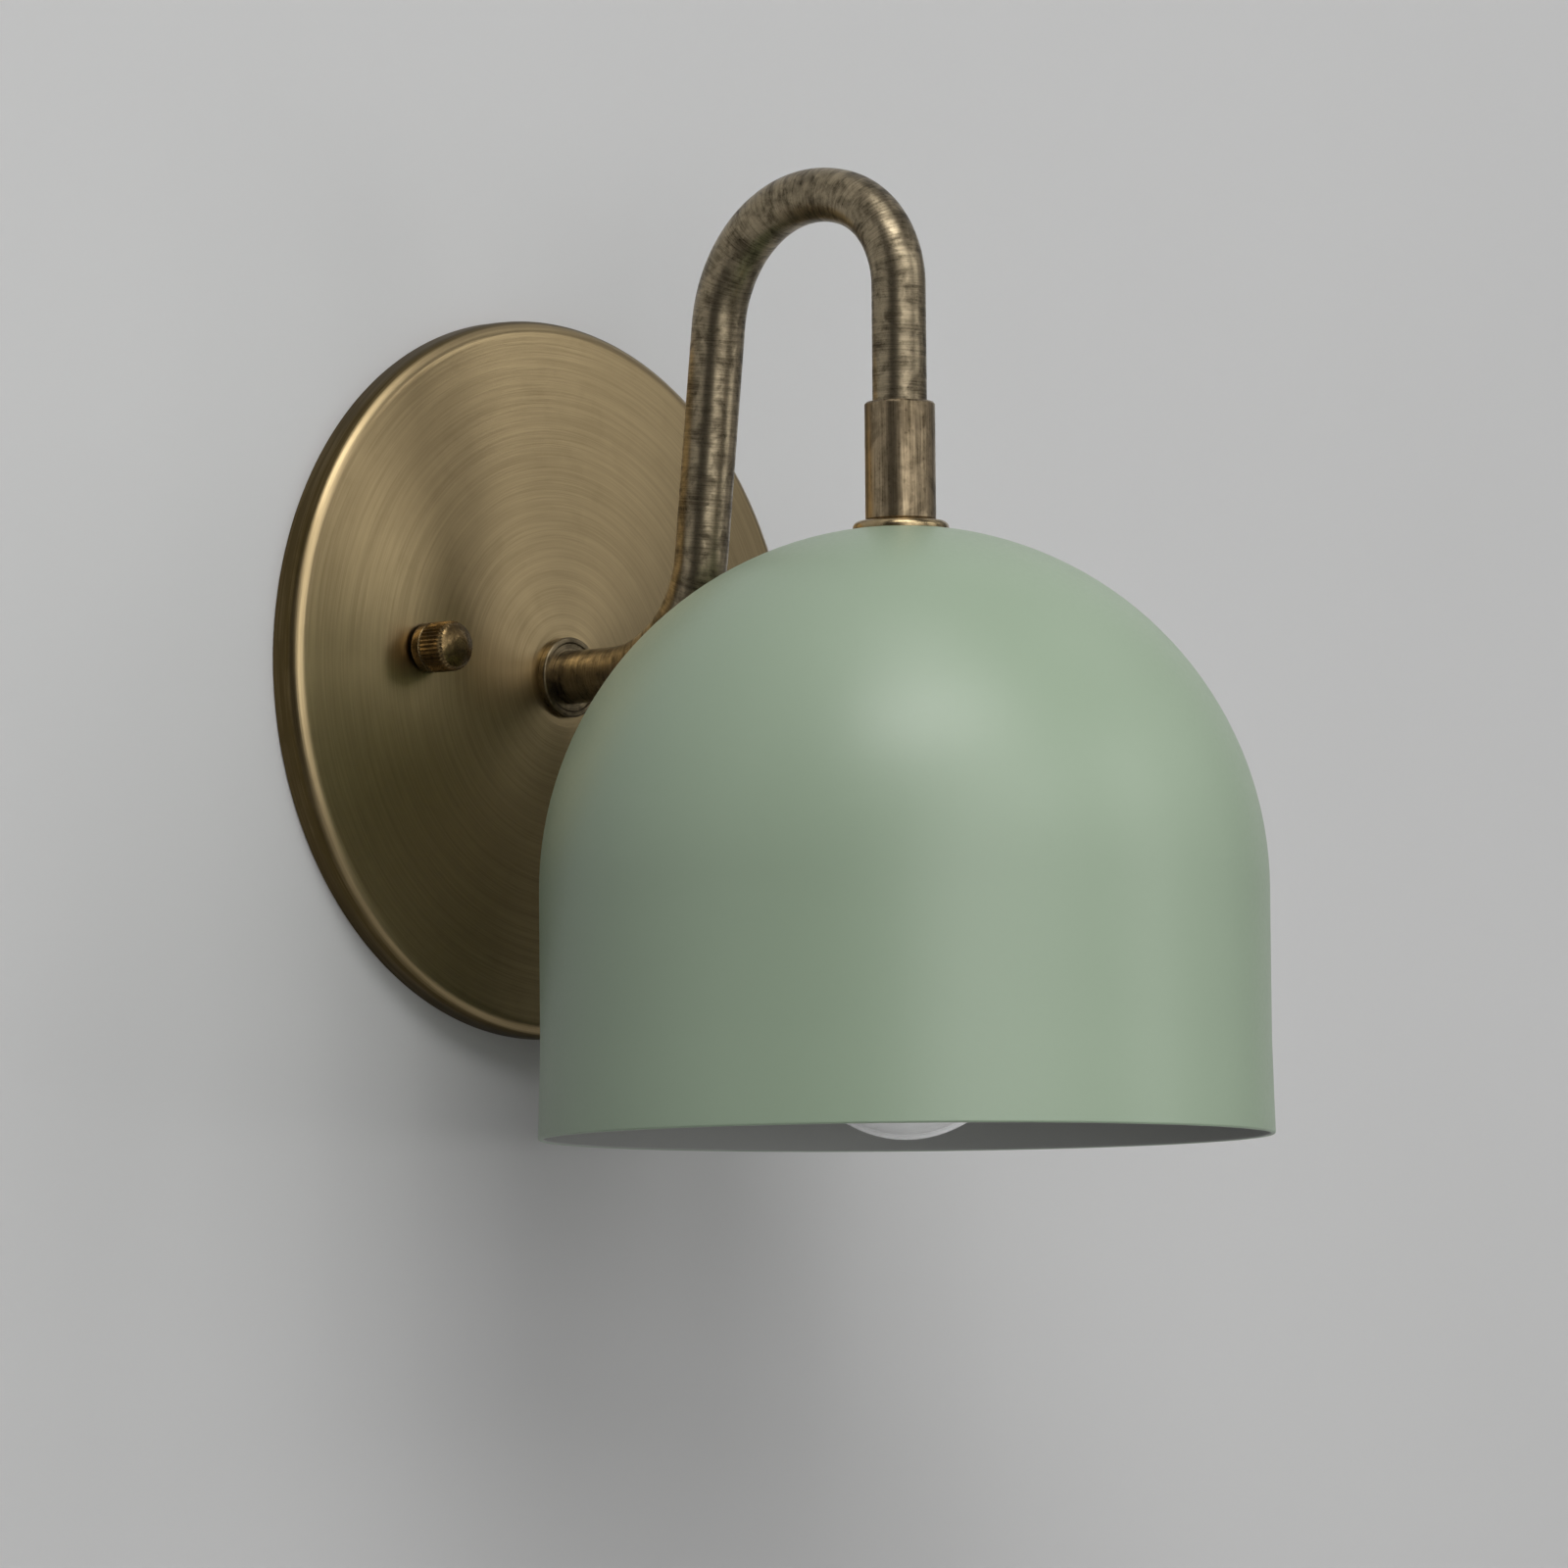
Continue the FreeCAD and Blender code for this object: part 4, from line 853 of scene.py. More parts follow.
# ---------------------------------------------------------------- sub-assemblies
@dataclass
class WallSide:
    """Back plate with what holds it to the wall box."""

    radius: float = 66.5
    sheet: float = 1.2
    side: float = 5.9
    depth: float = 9.4
    boss: float = 9.0
    edge: float = 3.2
    stud_spacing: float = 69.85
    tilt: float = 6.0
    stud_hole: float = 2.6
    stud_bore: float = 2.14
    stud_reach: float = 5.4
    stud_nut_flats: float = 8.7
    nut_radius: float = 4.6
    knurl_teeth: int = 36
    bar_length: float = 104.0
    bar_width: float = 19.0
    bar_thick: float = 1.9
    bar_middle_hole: float = 6.5
    box_circle: float = 88.9
    box_hole: float = 2.4
    ground_x: float = 18.0
    ground_shank: float = 2.35

    def face(self, radius: float) -> float:
        """Distance of the plate's face from the wall at a radius on its cone."""
        return self.depth - (radius - self.boss) * (self.depth - self.side) / (self.radius - self.boss)

    def stud_place(self, side: int) -> Vector:
        """Centre of the left (-1) or right (+1) stud on the wall plane."""
        turn, half = math.radians(self.tilt), self.stud_spacing / 2
        return Vector((side * half * math.cos(turn), 0, -side * half * math.sin(turn)))

    def plate(self) -> None:
        """Spun dish with a rolled edge, a shallow cone and a flat boss."""
        inside = self.radius - self.sheet
        inner_side = self.face(inside) - self.sheet
        obj = turned("back_plate_spun", ON_PLATE, [
            Stop(PIPE_BORE, self.depth - self.sheet), Stop(PIPE_BORE, self.depth),
            Stop(self.boss, self.depth, 6.0), Stop(self.radius, self.side, self.edge),
            Stop(self.radius, 0.25), Stop(self.radius - 0.25, 0.0), Stop(inside, 0.0),
            Stop(inside, inner_side, self.edge - self.sheet), Stop(self.boss, self.depth - self.sheet)],
            steps=256, fine=9.0)
        for side in (-1, 1):
            combine(obj, drum(self.on_stud(side), self.stud_hole, -5.0, 20.0, 48))
        second_finish(obj, self.is_inside)
        finish_piece(obj, "back_plate", PLATE_BRASS, PLATE_BACK)

    def is_inside(self, middle: Vector, normal: Vector) -> bool:
        """True for a face of the plate's hollow."""
        radius = math.hypot(middle.x, middle.z)
        inward = (middle.x * normal.x + middle.z * normal.z) / max(radius, 1e-6) < -0.5
        return normal.y > 0.6 or (inward and radius > PIPE_BORE + 1)

    def on_stud(self, side: int) -> Spindle:
        """Spindle of the left (-1) or right (+1) stud."""
        place = self.stud_place(side)
        return Spindle(Axis.OUT, place.x, place.z)

    def crossbar(self) -> None:
        """Flat strap with round ends: a disc pulled apart, thickened, bored and broken at its edges."""
        half = (self.bar_length - self.bar_width) / 2
        select_none()
        bpy.ops.mesh.primitive_circle_add(vertices=64, radius=self.bar_width / 2, fill_type="NGON",
                                          location=(0, 0, 0), rotation=(0, 0, math.pi / 64))
        bar = settle(named("strap"))
        for way in (-1, 1):
            pick_points(bar, lambda point: point.x * way > 0)
            bpy.ops.transform.translate(value=(way * half, 0, 0))
        edit(bar)
        bpy.ops.mesh.extrude_region_move(TRANSFORM_OT_translate={"value": (0, 0, self.bar_thick)})
        close_mesh()
        holes = [(0.0, self.bar_middle_hole), (self.ground_x, self.ground_shank + 0.06)]
        for side in (-1, 1):
            holes += [(side * self.stud_spacing / 2, self.stud_bore), (side * self.box_circle / 2, self.box_hole)]
        for x, radius in holes:
            combine(bar, drum(Spindle(Axis.UP, x, 0.0), radius, -1.0, self.bar_thick + 1.0))
        break_edges(bar, 0.15, 40)
        stand(bar, ON_PLATE).rotation_euler.y = math.radians(self.tilt)
        finish_piece(settle(bar), "crossbar", ZINC, smooth=20)

    def studs(self) -> None:
        """Two threaded studs and the hex nuts that lock them on the strap."""
        length = self.face(self.stud_spacing / 2) + self.stud_reach
        stud = Thread(root=1.74, crest=2.08, pitch=0.794, taper=0.4, around=32).cut("canopy_studs_cut", 0.0, length)
        studs = [stand(piece, self.on_stud(side)) for piece, side in ((stud, -1), (copy_of(stud), 1))]
        finish_piece(joined(studs), "canopy_studs", STUD_BRASS)
        nuts = [hex_nut("stud_nuts", self.on_stud(side), self.stud_nut_flats, self.bar_thick, NUT_THICK,
                        self.stud_bore) for side in (-1, 1)]
        finish_piece(joined(nuts), "stud_lock_nuts", ZINC)

    def ground_screw(self) -> None:
        """Slotted earth screw with a rounded washer head."""
        seat = self.bar_thick + 0.6
        top = seat + 1.8
        turn = math.radians(self.tilt)
        x, z = self.ground_x * math.cos(turn), -self.ground_x * math.sin(turn)
        screw = turned("ground_screw_turned", Spindle(Axis.OUT, x, z), [
            Stop(0, 0), Stop(self.ground_shank, 0, 0.3), Stop(self.ground_shank, seat), Stop(4.6, seat, 0.15),
            Stop(4.6, seat + 0.7, 0.15), Stop(3.9, seat + 0.8, 0.2), Stop(3.6, top, 0.6), Stop(0, top)], steps=72)
        combine(screw, block(Vector((x, -top, z)), (12.0, 2.0, 1.0), self.tilt))
        finish_piece(screw, "ground_screw", GREEN_SCREW)

    def cap_nut(self, side: int) -> None:
        """Blind nut: collar, groove, knurled band and a domed end, round a blind bore."""
        name = "cap_nut_left" if side < 0 else "cap_nut_right"
        radius, bore = self.nut_radius, self.stud_bore
        foot = self.face(self.stud_spacing / 2 - radius) + 0.10
        collar = foot + 1.9
        nut = turned(name + "_turned", self.on_stud(side), [
            Stop(bore, foot), Stop(radius, foot, 0.25), Stop(radius, collar, 0.25), Stop(radius - 0.25, collar),
            Stop(radius - 0.25, collar + 0.35), Stop(radius, collar + 0.35), Stop(radius, foot + 7.2, 1.8),
            Stop(1.8, foot + 8.4, 2.4), Stop(0, foot + 8.4), Stop(0, foot + 6.2), Stop(bore, foot + 5.16)],
            steps=4 * self.knurl_teeth)
        self.knurl(nut, self.stud_place(side), collar + 0.3)
        finish_piece(nut, name, NUT_BRASS, body=name)

    def knurl(self, nut: Piece, centre: Vector, low: float) -> None:
        """Press the teeth into a nut's band: of every four lines one stays, and three go in.

        Args:
            nut: The nut, with four points round it for each tooth.
            centre: Its axis on the wall plane.
            low: Height at which the band starts.
        """
        step = FULL_TURN / (4 * self.knurl_teeth)
        for phase, depth in ((1, 0.13), (2, 0.25), (3, 0.13)):
            def on_line(point: Vector) -> bool:
                x, z = point.x - centre.x, point.z - centre.z
                line = round(math.atan2(z, x) / step) % 4
                return -point.y > low and math.hypot(x, z) > self.nut_radius - 0.3 and line == phase

            pick_points(nut, on_line)
            share = 1 - depth / self.nut_radius
            bpy.ops.transform.resize(value=(share, 1, share), center_override=centre)
        bpy.ops.object.mode_set(mode="OBJECT")

    def build(self) -> None:
        """All pieces on the wall side."""
        self.plate()
        self.crossbar()
        self.studs()
        self.ground_screw()
        carry("ground_lug", TINNED)
        for side in (-1, 1):
            self.cap_nut(side)


@dataclass
class Arm:
    """Bent tube with its ring, nuts and coupling."""

    tube: float = 4.9
    wall: float = 1.0
    end_y: float = -4.3
    tip_z: float = 34.4
    reach: float = 93.4
    bend_z: float = 65.4
    elbow: float = 22.8
    top_bend: float = 24.6
    front_bend: float = 17.9
    front_turn: float = 70.3
    lean: float = 6.5
    around: int = 72

    def runs(self) -> list[tuple[float, float, float]]:
        """Straight runs and bends in order, each with its length or degrees, its radius and its way."""
        lean, split = math.radians(self.lean), math.radians(180 - self.front_turn)
        reach = (self.top_bend * (math.cos(lean) - math.cos(split)) + self.front_bend * (math.cos(split) + 1))
        rise = self.top_bend * (math.sin(split) - math.sin(lean)) - self.front_bend * math.sin(split)
        leg = (self.bend_z - rise - self.elbow * (1 - math.sin(lean))) / math.cos(lean)
        stub = self.reach - reach - leg * math.sin(lean) - self.elbow * math.cos(lean)
        return [(stub + self.end_y, 0, 0), (90 - self.lean, self.elbow, 1), (leg, 0, 0),
                (180 - self.lean - self.front_turn, self.top_bend, -1), (self.front_turn, self.front_bend, -1),
                (self.bend_z - self.tip_z, 0, 0)]

    def bent_tube(self) -> None:
        """Ring of the tube's end, extruded on the straight runs and spun round the bends."""
        select_none()
        bpy.ops.mesh.primitive_circle_add(vertices=self.around, radius=self.tube, location=(0, self.end_y, 0),
                                          rotation=(math.pi / 2, 0, 0))
        obj = settle(named("arm_gooseneck"))
        bpy.ops.object.mode_set(mode="EDIT")
        bpy.ops.mesh.select_mode(type="VERT")
        bpy.ops.mesh.select_all(action="SELECT")
        at, heading = Vector((0, self.end_y, 0)), Vector((0, -1, 0))
        line = [(at.copy(), heading.copy(), 0.0)]
        gone = 0.0
        for amount, radius, way in self.runs():
            if radius == 0:
                pieces = max(1, round(amount / 2.0))
                for _ in range(pieces):
                    step = heading * amount / pieces
                    bpy.ops.mesh.extrude_region_move(TRANSFORM_OT_translate={"value": step})
                    at, gone = at + step, gone + step.length
                    line.append((at.copy(), heading.copy(), gone))
                continue
            side = Vector((0, heading.z, -heading.y)) * way
            centre = at + side * radius
            turn = math.radians(amount)
            axis = heading.cross(side).normalized()
            steps = max(8, round(amount / 2.5))
            bpy.ops.mesh.spin(steps=steps, angle=-turn, center=centre, axis=axis)
            spoke = at - centre
            for k in range(1, steps + 1):
                part = Matrix.Rotation(turn * k / steps, 3, axis)
                line.append((centre + part @ spoke, part @ heading, gone + radius * turn * k / steps))
            at, heading, gone = line[-1][0].copy(), line[-1][1].copy(), line[-1][2]
        close_mesh(merge=WELD)
        apply_modifier(obj, "SOLIDIFY", thickness=self.wall, offset=-1.0, use_even_offset=True)
        self.unbend(obj, line)
        finish_piece(obj, "arm_tube", ARM_BRASS, smooth=40)

    def unbend(self, obj: Piece, line: Sequence[tuple[Vector, Vector, float]]) -> None:
        """Store each point's place on the tube as it was before it was bent.

        Args:
            obj: The tube, in millimetres.
            line: Points of the centre line with their heading and their length from the start.
        """
        places: list[float] = []
        for vertex in obj.data.vertices:
            at, heading, gone = min(line, key=lambda spot: (spot[0] - vertex.co).length_squared)
            spoke = vertex.co - at
            up = Vector((1, 0, 0)).cross(heading)
            places += [spoke.x, spoke.dot(up), gone + spoke.dot(heading)]
        unbent = obj.data.attributes.new("unbent", "FLOAT_VECTOR", "POINT")
        unbent.data.foreach_set("vector", places)

    def seat_ring(self) -> None:
        """Ring with a rounded outer edge and a slightly sunk face."""
        foot, sunk, crest, radius = 9.4, 10.75, 11.0, 7.4
        obj = turned("arm_seat_ring_turned", ON_PLATE, [
            Stop(PIPE_BORE, foot), Stop(PIPE_BORE, sunk), Stop(6.2, sunk), Stop(6.5, crest),
            Stop(radius, crest, 0.35), Stop(radius, foot, 0.1), Stop(radius - 0.2, foot)], steps=128)
        finish_piece(obj, "arm_seat_ring", RING_BRASS)

    def coupling(self) -> None:
        """Sleeve with small rounded chamfers at both ends."""
        low, high, edge, radius = 22.9, 44.4, 0.4, 6.35
        obj = turned("coupling_sleeve", ON_SHADE, [
            Stop(PIPE_BORE, low), Stop(PIPE_BORE, high), Stop(radius - edge, high, 0.08),
            Stop(radius, high - edge, 0.15), Stop(radius, low + edge, 0.15), Stop(radius - edge, low, 0.08)],
            steps=128)
        finish_piece(obj, "coupling", COUPLING_BRASS, smooth=50)

    def clamp(self) -> None:
        """Split washer and hex nut behind the plate."""
        back, front, split = 7.4, 8.2, 35.0
        washer = flat_ring("arm_washer", ON_PLATE, 8.6, back, front)
        ray = Matrix.Rotation(math.radians(-split), 3, "Y") @ Vector((6.8, 0, 0))
        combine(washer, block(ray + Vector((0, -(back + front) / 2, 0)), (6.0, 2.0, 0.8), -split))
        finish_piece(washer, "arm_lock_washer", ZINC)
        nut = hex_nut("arm_nut", ON_PLATE, PIPE_NUT_FLATS, back - NUT_THICK, NUT_THICK, PIPE_BORE)
        finish_piece(nut, "arm_lock_nut", ZINC)

    def nipple(self) -> None:
        """Threaded tube that joins the arm's coupling, the shade and the lamp holder."""
        low, high = 11.3, 33.4
        tube = Thread(root=4.5, crest=4.9, pitch=0.94, taper=0.5, around=48).cut("nipple_cut", low, high)
        combine(tube, drum(AT_ORIGIN, 3.2, low - 1, high + 1, 48))
        finish_piece(stand(tube, ON_SHADE), "threaded_nipple", ZINC)

    def build(self) -> None:
        """All pieces of the arm."""
        self.bent_tube()
        self.seat_ring()
        self.clamp()
        self.coupling()
        self.nipple()


@dataclass
class Shade:
    """Spun dome shade with its flange and the washer and nut inside."""

    radius: float = 65.4
    sheet: float = 1.0
    top: float = 21.3
    rim: float = -87.7
    flat: float = 9.0
    flare: float = 0.5
    flare_height: float = 17.0
    washer: tuple[float, float] = (19.3, 20.3)

    def dome(self) -> None:
        """Sheet dome on a straight skirt with a slight flare, rounded at its rim."""
        crown = self.top - math.sqrt(self.radius ** 2 - self.flat ** 2)
        inner = self.radius - self.sheet
        inner_top = self.top - self.sheet
        inner_flat = math.sqrt(inner ** 2 - (inner_top - crown) ** 2)
        skirt = self.rim + self.flare_height
        mouth = self.radius + self.flare
        lip = self.sheet * 0.42
        obj = turned("shade_spun", ON_SHADE, [
            Stop(PIPE_BORE, inner_top), Stop(PIPE_BORE, self.top), Stop(self.flat, self.top),
            Stop(self.radius, crown, about=(0.0, crown)), Stop(self.radius, skirt, 60.0),
            Stop(mouth, self.rim, lip), Stop(mouth - self.sheet, self.rim, lip), Stop(inner, skirt, 60.0),
            Stop(inner, crown), Stop(inner_flat, inner_top, about=(0.0, crown))],
            steps=256, fine=2.5)
        second_finish(obj, self.is_lining)
        finish_piece(obj, "shade", SAGE, SHADOWED_LINING)

    def is_lining(self, middle: Vector, normal: Vector) -> bool:
        """True for a face that looks into the shade."""
        inward = Vector((-middle.x, SHADE_Y - middle.y, -43.5 - middle.z))
        return normal.dot(inward.normalized()) > 0.2 and middle.z < self.top - 0.5

    def flange(self) -> None:
        """Thin saucer with a quarter round on its upper edge."""
        low, high, radius = self.top, 22.9, 8.65
        obj = turned("shade_flange_turned", ON_SHADE, [
            Stop(PIPE_BORE, low), Stop(PIPE_BORE, high), Stop(radius, high, 1.25), Stop(radius, low, 0.15),
            Stop(radius - 0.5, low)], steps=128)
        finish_piece(obj, "shade_flange", FLANGE_BRASS)

    def build(self) -> None:
        """All pieces of the shade."""
        self.dome()
        self.flange()
        low, high = self.washer
        washer = flat_ring("shade_washer_turned", ON_SHADE, 8.4, low, high)
        finish_piece(washer, "shade_washer", ZINC)
        nut = hex_nut("shade_nut", ON_SHADE, PIPE_NUT_FLATS, low - NUT_THICK, NUT_THICK, PIPE_BORE)
        finish_piece(nut, "shade_lock_nut", ZINC)


@dataclass
class LampHolder:
    """Cap, ceramic body and contacts over the bulb."""

    neck: float = 7.6
    cap_top: float = 16.3
    shoulder: float = 10.7
    skirt_top: float = 7.3
    skirt_foot: float = 0.7
    cap_radius: float = 18.6
    sheet: float = 0.9
    body_top: float = 3.3
    body_foot: float = -31.2
    floor: float = -1.7
    well: float = 13.49
    shell: float = 13.43
    shell_foot: float = -26.7
    screw_height: float = 13.8

    def cap(self) -> None:
        """Spun cap with a threaded neck, a sloping shoulder and a skirt."""
        radius, inner, under = self.cap_radius, self.cap_radius - self.sheet, self.shoulder - self.sheet
        cap = turned("socket_cap_spun", ON_SHADE, [
            Stop(PIPE_BORE, self.cap_top), Stop(self.neck, self.cap_top, 0.5), Stop(self.neck, self.shoulder, 1.2),
            Stop(radius, self.skirt_top, 3.0), Stop(radius, self.skirt_foot, 0.3), Stop(inner, self.skirt_foot),
            Stop(inner, self.skirt_top - self.sheet, 2.1), Stop(self.neck - self.sheet, under),
            Stop(PIPE_BORE, under)], steps=144)
        combine(cap, self.toward_wall(drum(AT_ORIGIN, 1.56, 4.0, 9.0, 32)))
        finish_piece(cap, "socket_cap", CAP_NICKEL)

    def toward_wall(self, obj: Piece) -> Piece:
        """Lay an upright piece on the line of the set screw, its top toward the wall, and return it."""
        obj.rotation_euler.x = -math.pi / 2
        obj.location = (0, SHADE_Y, self.screw_height)
        return settle(obj)

    def set_screw(self) -> None:
        """Slotted set screw in the neck of the cap."""
        low, high = 4.93, 10.0
        screw = Thread(root=1.25, crest=1.5, pitch=0.5, taper=0.3, around=28).cut("set_screw_cut", low, high)
        combine(screw, block(Vector((0, 0, high)), (0.5, 4.0, 1.6)))
        finish_piece(self.toward_wall(screw), "socket_set_screw", STUD_BRASS)

    def body(self) -> None:
        """Glazed ceramic holder with a deep well and a lip under the cap's skirt."""
        lip_top, lip_foot = 0.6, -3.4
        body = turned("socket_body_cast", ON_SHADE, [
            Stop(0, self.body_top), Stop(17.64, self.body_top, 0.8), Stop(17.64, lip_top), Stop(19.0, lip_top, 0.6),
            Stop(19.0, lip_foot, 0.8), Stop(17.8, lip_foot, 0.5), Stop(17.2, self.body_foot, 1.2),
            Stop(self.well, self.body_foot, 0.6), Stop(self.well, self.floor), Stop(0, self.floor)], steps=144)
        finish_piece(body, "socket_body", PORCELAIN)

    def screw_shell(self) -> None:
        """Thin sleeve with a rolled thread pressed into its inside."""
        low, high = self.shell_foot, self.floor
        sleeve = drum(ON_SHADE, self.shell, low, high, 144)
        sleeve.name = sleeve.data.name = "screw_shell_rolled"
        inside = Thread(13.08, 13.32, 3.63, form=ThreadForm.ROLLED, around=72).cut("well", low - 1, high + 1)
        combine(sleeve, stand(inside, ON_SHADE))
        finish_piece(sleeve, "socket_screw_shell", SHELL_METAL)

    def build(self) -> None:
        """All pieces of the lamp holder."""
        self.cap()
        self.set_screw()
        self.body()
        self.screw_shell()
        for node in ("socket_contact", "socket_terminals"):
            carry(node, CONTACT_BRASS)


@dataclass
class Bulb:
    """Clear globe bulb with filament sticks."""

    glass: float = 0.8
    neck: float = 12.4
    neck_top: float = -29.2
    neck_foot: float = -41.7
    bend: float = 15.463
    belt: tuple[float, float] = (-63.1, -67.1)
    globe: float = 21.0
    cap_top: float = -8.2
    cap_foot: float = -30.7
    thread_pitch: float = 3.63
    sticks: int = 4

    def envelope(self) -> None:
        """Blown glass: a globe, a short belt and an S-shaped shoulder to the neck, with its inner wall."""
        outer, inner = self.wall(0.0), self.wall(self.glass)
        glass = turned("bulb_glass_blown", ON_SHADE, outer + inner[::-1], steps=144, fine=5.0)
        finish_piece(glass, "bulb_glass", CLEAR, body=BULB, smooth=50)

    def wall(self, inset: float) -> list[Stop]:
        """Stops of one wall of the glass, from its foot up; the inner one is read the other way round."""
        radius, neck = self.globe - inset, self.neck - inset
        high, low = self.belt
        join = (16.7 - inset, -52.4)
        lower, upper = (radius - self.bend, high), (neck + self.bend, self.neck_foot)
        places = [(0.0, low - radius), (radius, low), (radius, high), join, (neck, self.neck_foot),
                  (neck, self.neck_top)]
        centres = [(0.0, low), None, lower, upper, None]
        if inset:
            return [Stop(*places[0], about=centres[0])] + [
                Stop(*place, about=centre) for place, centre in zip(places[1:], centres[1:] + [None])]
        return [Stop(*places[0])] + [Stop(*place, about=centre) for place, centre in zip(places[1:], centres)]

    def cap(self) -> None:
        """Sheet cap: a turned skin whose rolled thread is pushed outwards before it is thickened inwards."""
        core, collar, low, high, rise, run_out = 12.25, 12.95, -27.2, -10.9, 0.75, 1.4
        rows = round(12 * (high - low) / self.thread_pitch)
        wall = [Stop(core, high + (low - high) * k / rows) for k in range(rows + 1)]
        cap = turned("bulb_cap_rolled", ON_SHADE, [
            Stop(7.2, self.cap_top), Stop(collar, self.cap_top, 1.8), Stop(collar, -10.2, 0.1), *wall,
            Stop(collar, -28.0, 0.2), Stop(collar, self.cap_foot)], steps=144, shut=False)
        thread = cap.vertex_groups.new(name="thread")
        for point in cap.data.vertices:
            fade = min(1.0, (point.co.z - low) / run_out, (high - point.co.z) / run_out)
            if fade > 0:
                phase = point.co.z / self.thread_pitch - math.atan2(point.co.y - SHADE_Y, point.co.x) / FULL_TURN
                thread.add([point.index], fade * (0.5 - 0.5 * math.cos(FULL_TURN * phase)), "REPLACE")
        apply_modifier(cap, "DISPLACE", strength=rise, mid_level=0.0, vertex_group=thread.name)
        cap.vertex_groups.clear()
        apply_modifier(cap, "SOLIDIFY", thickness=0.3, offset=-1.0, use_even_offset=True)
        finish_piece(cap, "bulb_cap", BULB_METAL, body=BULB, smooth=40)

    def contact_end(self) -> None:
        """Black glass cone and the soldered tip on it."""
        cone = turned("bulb_insulator_cast", ON_SHADE, [
            Stop(0, self.cap_top), Stop(8.4, self.cap_top, 0.25), Stop(8.1, -7.5, 0.3), Stop(6.0, -6.2, 2.5),
            Stop(5.2, -4.8, 0.5), Stop(0, -4.8)], steps=96)
        finish_piece(cone, "bulb_insulator", BLACK_GLASS, body=BULB, smooth=50)
        tip = turned("bulb_tip_soldered", ON_SHADE, [
            Stop(0, -4.8), Stop(4.8, -4.8), Stop(4.8, -4.0, 0.6), Stop(2.6, -3.6, 2.0), Stop(0, -3.6)], steps=72)
        finish_piece(tip, "bulb_tip", SOLDER, body=BULB, smooth=50)

    def stem(self) -> None:
        """Flared glass stem that carries the sticks."""
        stem = turned("bulb_stem_drawn", ON_SHADE, [
            Stop(0, -32.9), Stop(11.54, -32.9, 0.2), Stop(7.0, -35.9, 2.0), Stop(3.4, -39.9, 2.0),
            Stop(3.4, -47.9, 2.0), Stop(1.3, -51.4, 1.3), Stop(1.3, -53.9, 0.6), Stop(0, -53.9)], steps=96)
        finish_piece(stem, "bulb_stem", CLEAR, body=BULB, smooth=50)

    def filaments(self) -> None:
        """Coated sticks with a metal end cap at both ends, one modelled and the rest copied."""
        length, high, top, foot, ferrule = 24.0, -45.7, 4.6, 9.0, 1.3
        low = high - math.sqrt(length ** 2 - (foot - top) ** 2)
        stick = turned("filament_sticks", AT_ORIGIN, [
            Stop(0, 0), Stop(0.45, 0, 0.1), Stop(0.45, ferrule), Stop(0.75, ferrule, 0.25),
            Stop(0.75, length - ferrule, 0.25), Stop(0.45, length - ferrule), Stop(0.45, length, 0.1),
            Stop(0, length)], steps=24, fine=30.0)
        for finish in (PHOSPHOR, LEAD_METAL):
            stick.data.materials.append(finish.material())
        second_finish(stick, lambda middle, _: abs(middle.z - length / 2) > length / 2 - ferrule + 0.01)
        sticks = [stick] + [copy_of(stick) for _ in range(self.sticks - 1)]
        for k, piece in enumerate(sticks):
            turn = FULL_TURN * (k + 0.5) / self.sticks
            ray = Vector((math.cos(turn), math.sin(turn), 0))
            start, end = ray * top + Vector((0, SHADE_Y, high)), ray * foot + Vector((0, SHADE_Y, low))
            piece.rotation_euler = (end - start).to_track_quat("Z", "Y").to_euler()
            piece.location = start
            settle(piece)
        finish_piece(joined(sticks), "bulb_filaments", PHOSPHOR, LEAD_METAL, body=BULB)

    def build(self) -> None:
        """All pieces of the bulb."""
        self.envelope()
        self.cap()
        self.contact_end()
        self.stem()
        self.filaments()
        carry("bulb_lead_wires", LEAD_METAL, body=BULB, smooth=50)


@dataclass
class Wiring:
    """The leads and the earth wire, each with its stripped copper end."""

    stripped: float = 6.0
    lead_tip: tuple[float, float] = (53.30, 6.03)
    earth_tip: tuple[float, float] = (37.65, -47.18)

    def wire(self, node: str, finish: Finish, x: float, z: float) -> None:
        """Smooth one wire, with copper within the stripped length of its tip across the wall plane."""
        def bare(middle: Vector, _: Vector) -> bool:
            return math.hypot(middle.x * 1000 - x, middle.z * 1000 - z) < self.stripped - 0.1

        carry(node, finish, COPPER, smooth=50, second=bare)

    def build(self) -> None:
        """All wires."""
        x, z = self.lead_tip
        self.wire("wire_live", BLACK_WIRE, x, z)
        self.wire("wire_neutral", WHITE_WIRE, -x, -z)
        self.wire("wire_ground", GREEN_WIRE, *self.earth_tip)


# ---------------------------------------------------------------- studio
# Watts of the soft boxes by elevation, then by azimuth from straight out of the wall toward +X, in degrees.
SOFT_BOXES = {
    0: {-34: 4.2, -17: 2.8, 0: 2.4, 34: 3.5, 68: 0.9},
    25: {-34: 2.4, -17: 2.7, 0: 3.7, 34: 4.0, 51: 0.3, 68: 1.1},
    50: {-51: 7.6, -34: 4.8, -17: 5.5, 0: 0.8, 68: 1.5},
    75: {-40: 3.9, 0: 0.9, 80: 0.3},
}
REAR_BOX = (160, 15, 8.0)                 # azimuth, elevation and watts of the one behind the wall
FLOOR_TONE: Colour = (0.62, 0.62, 0.61)
WALL_TONE: Colour = (0.67, 0.67, 0.67)    # as the camera, glass and metal see the wall
WALL_BOUNCE: Colour = (0.26, 0.26, 0.26)  # as it throws light on the lamp


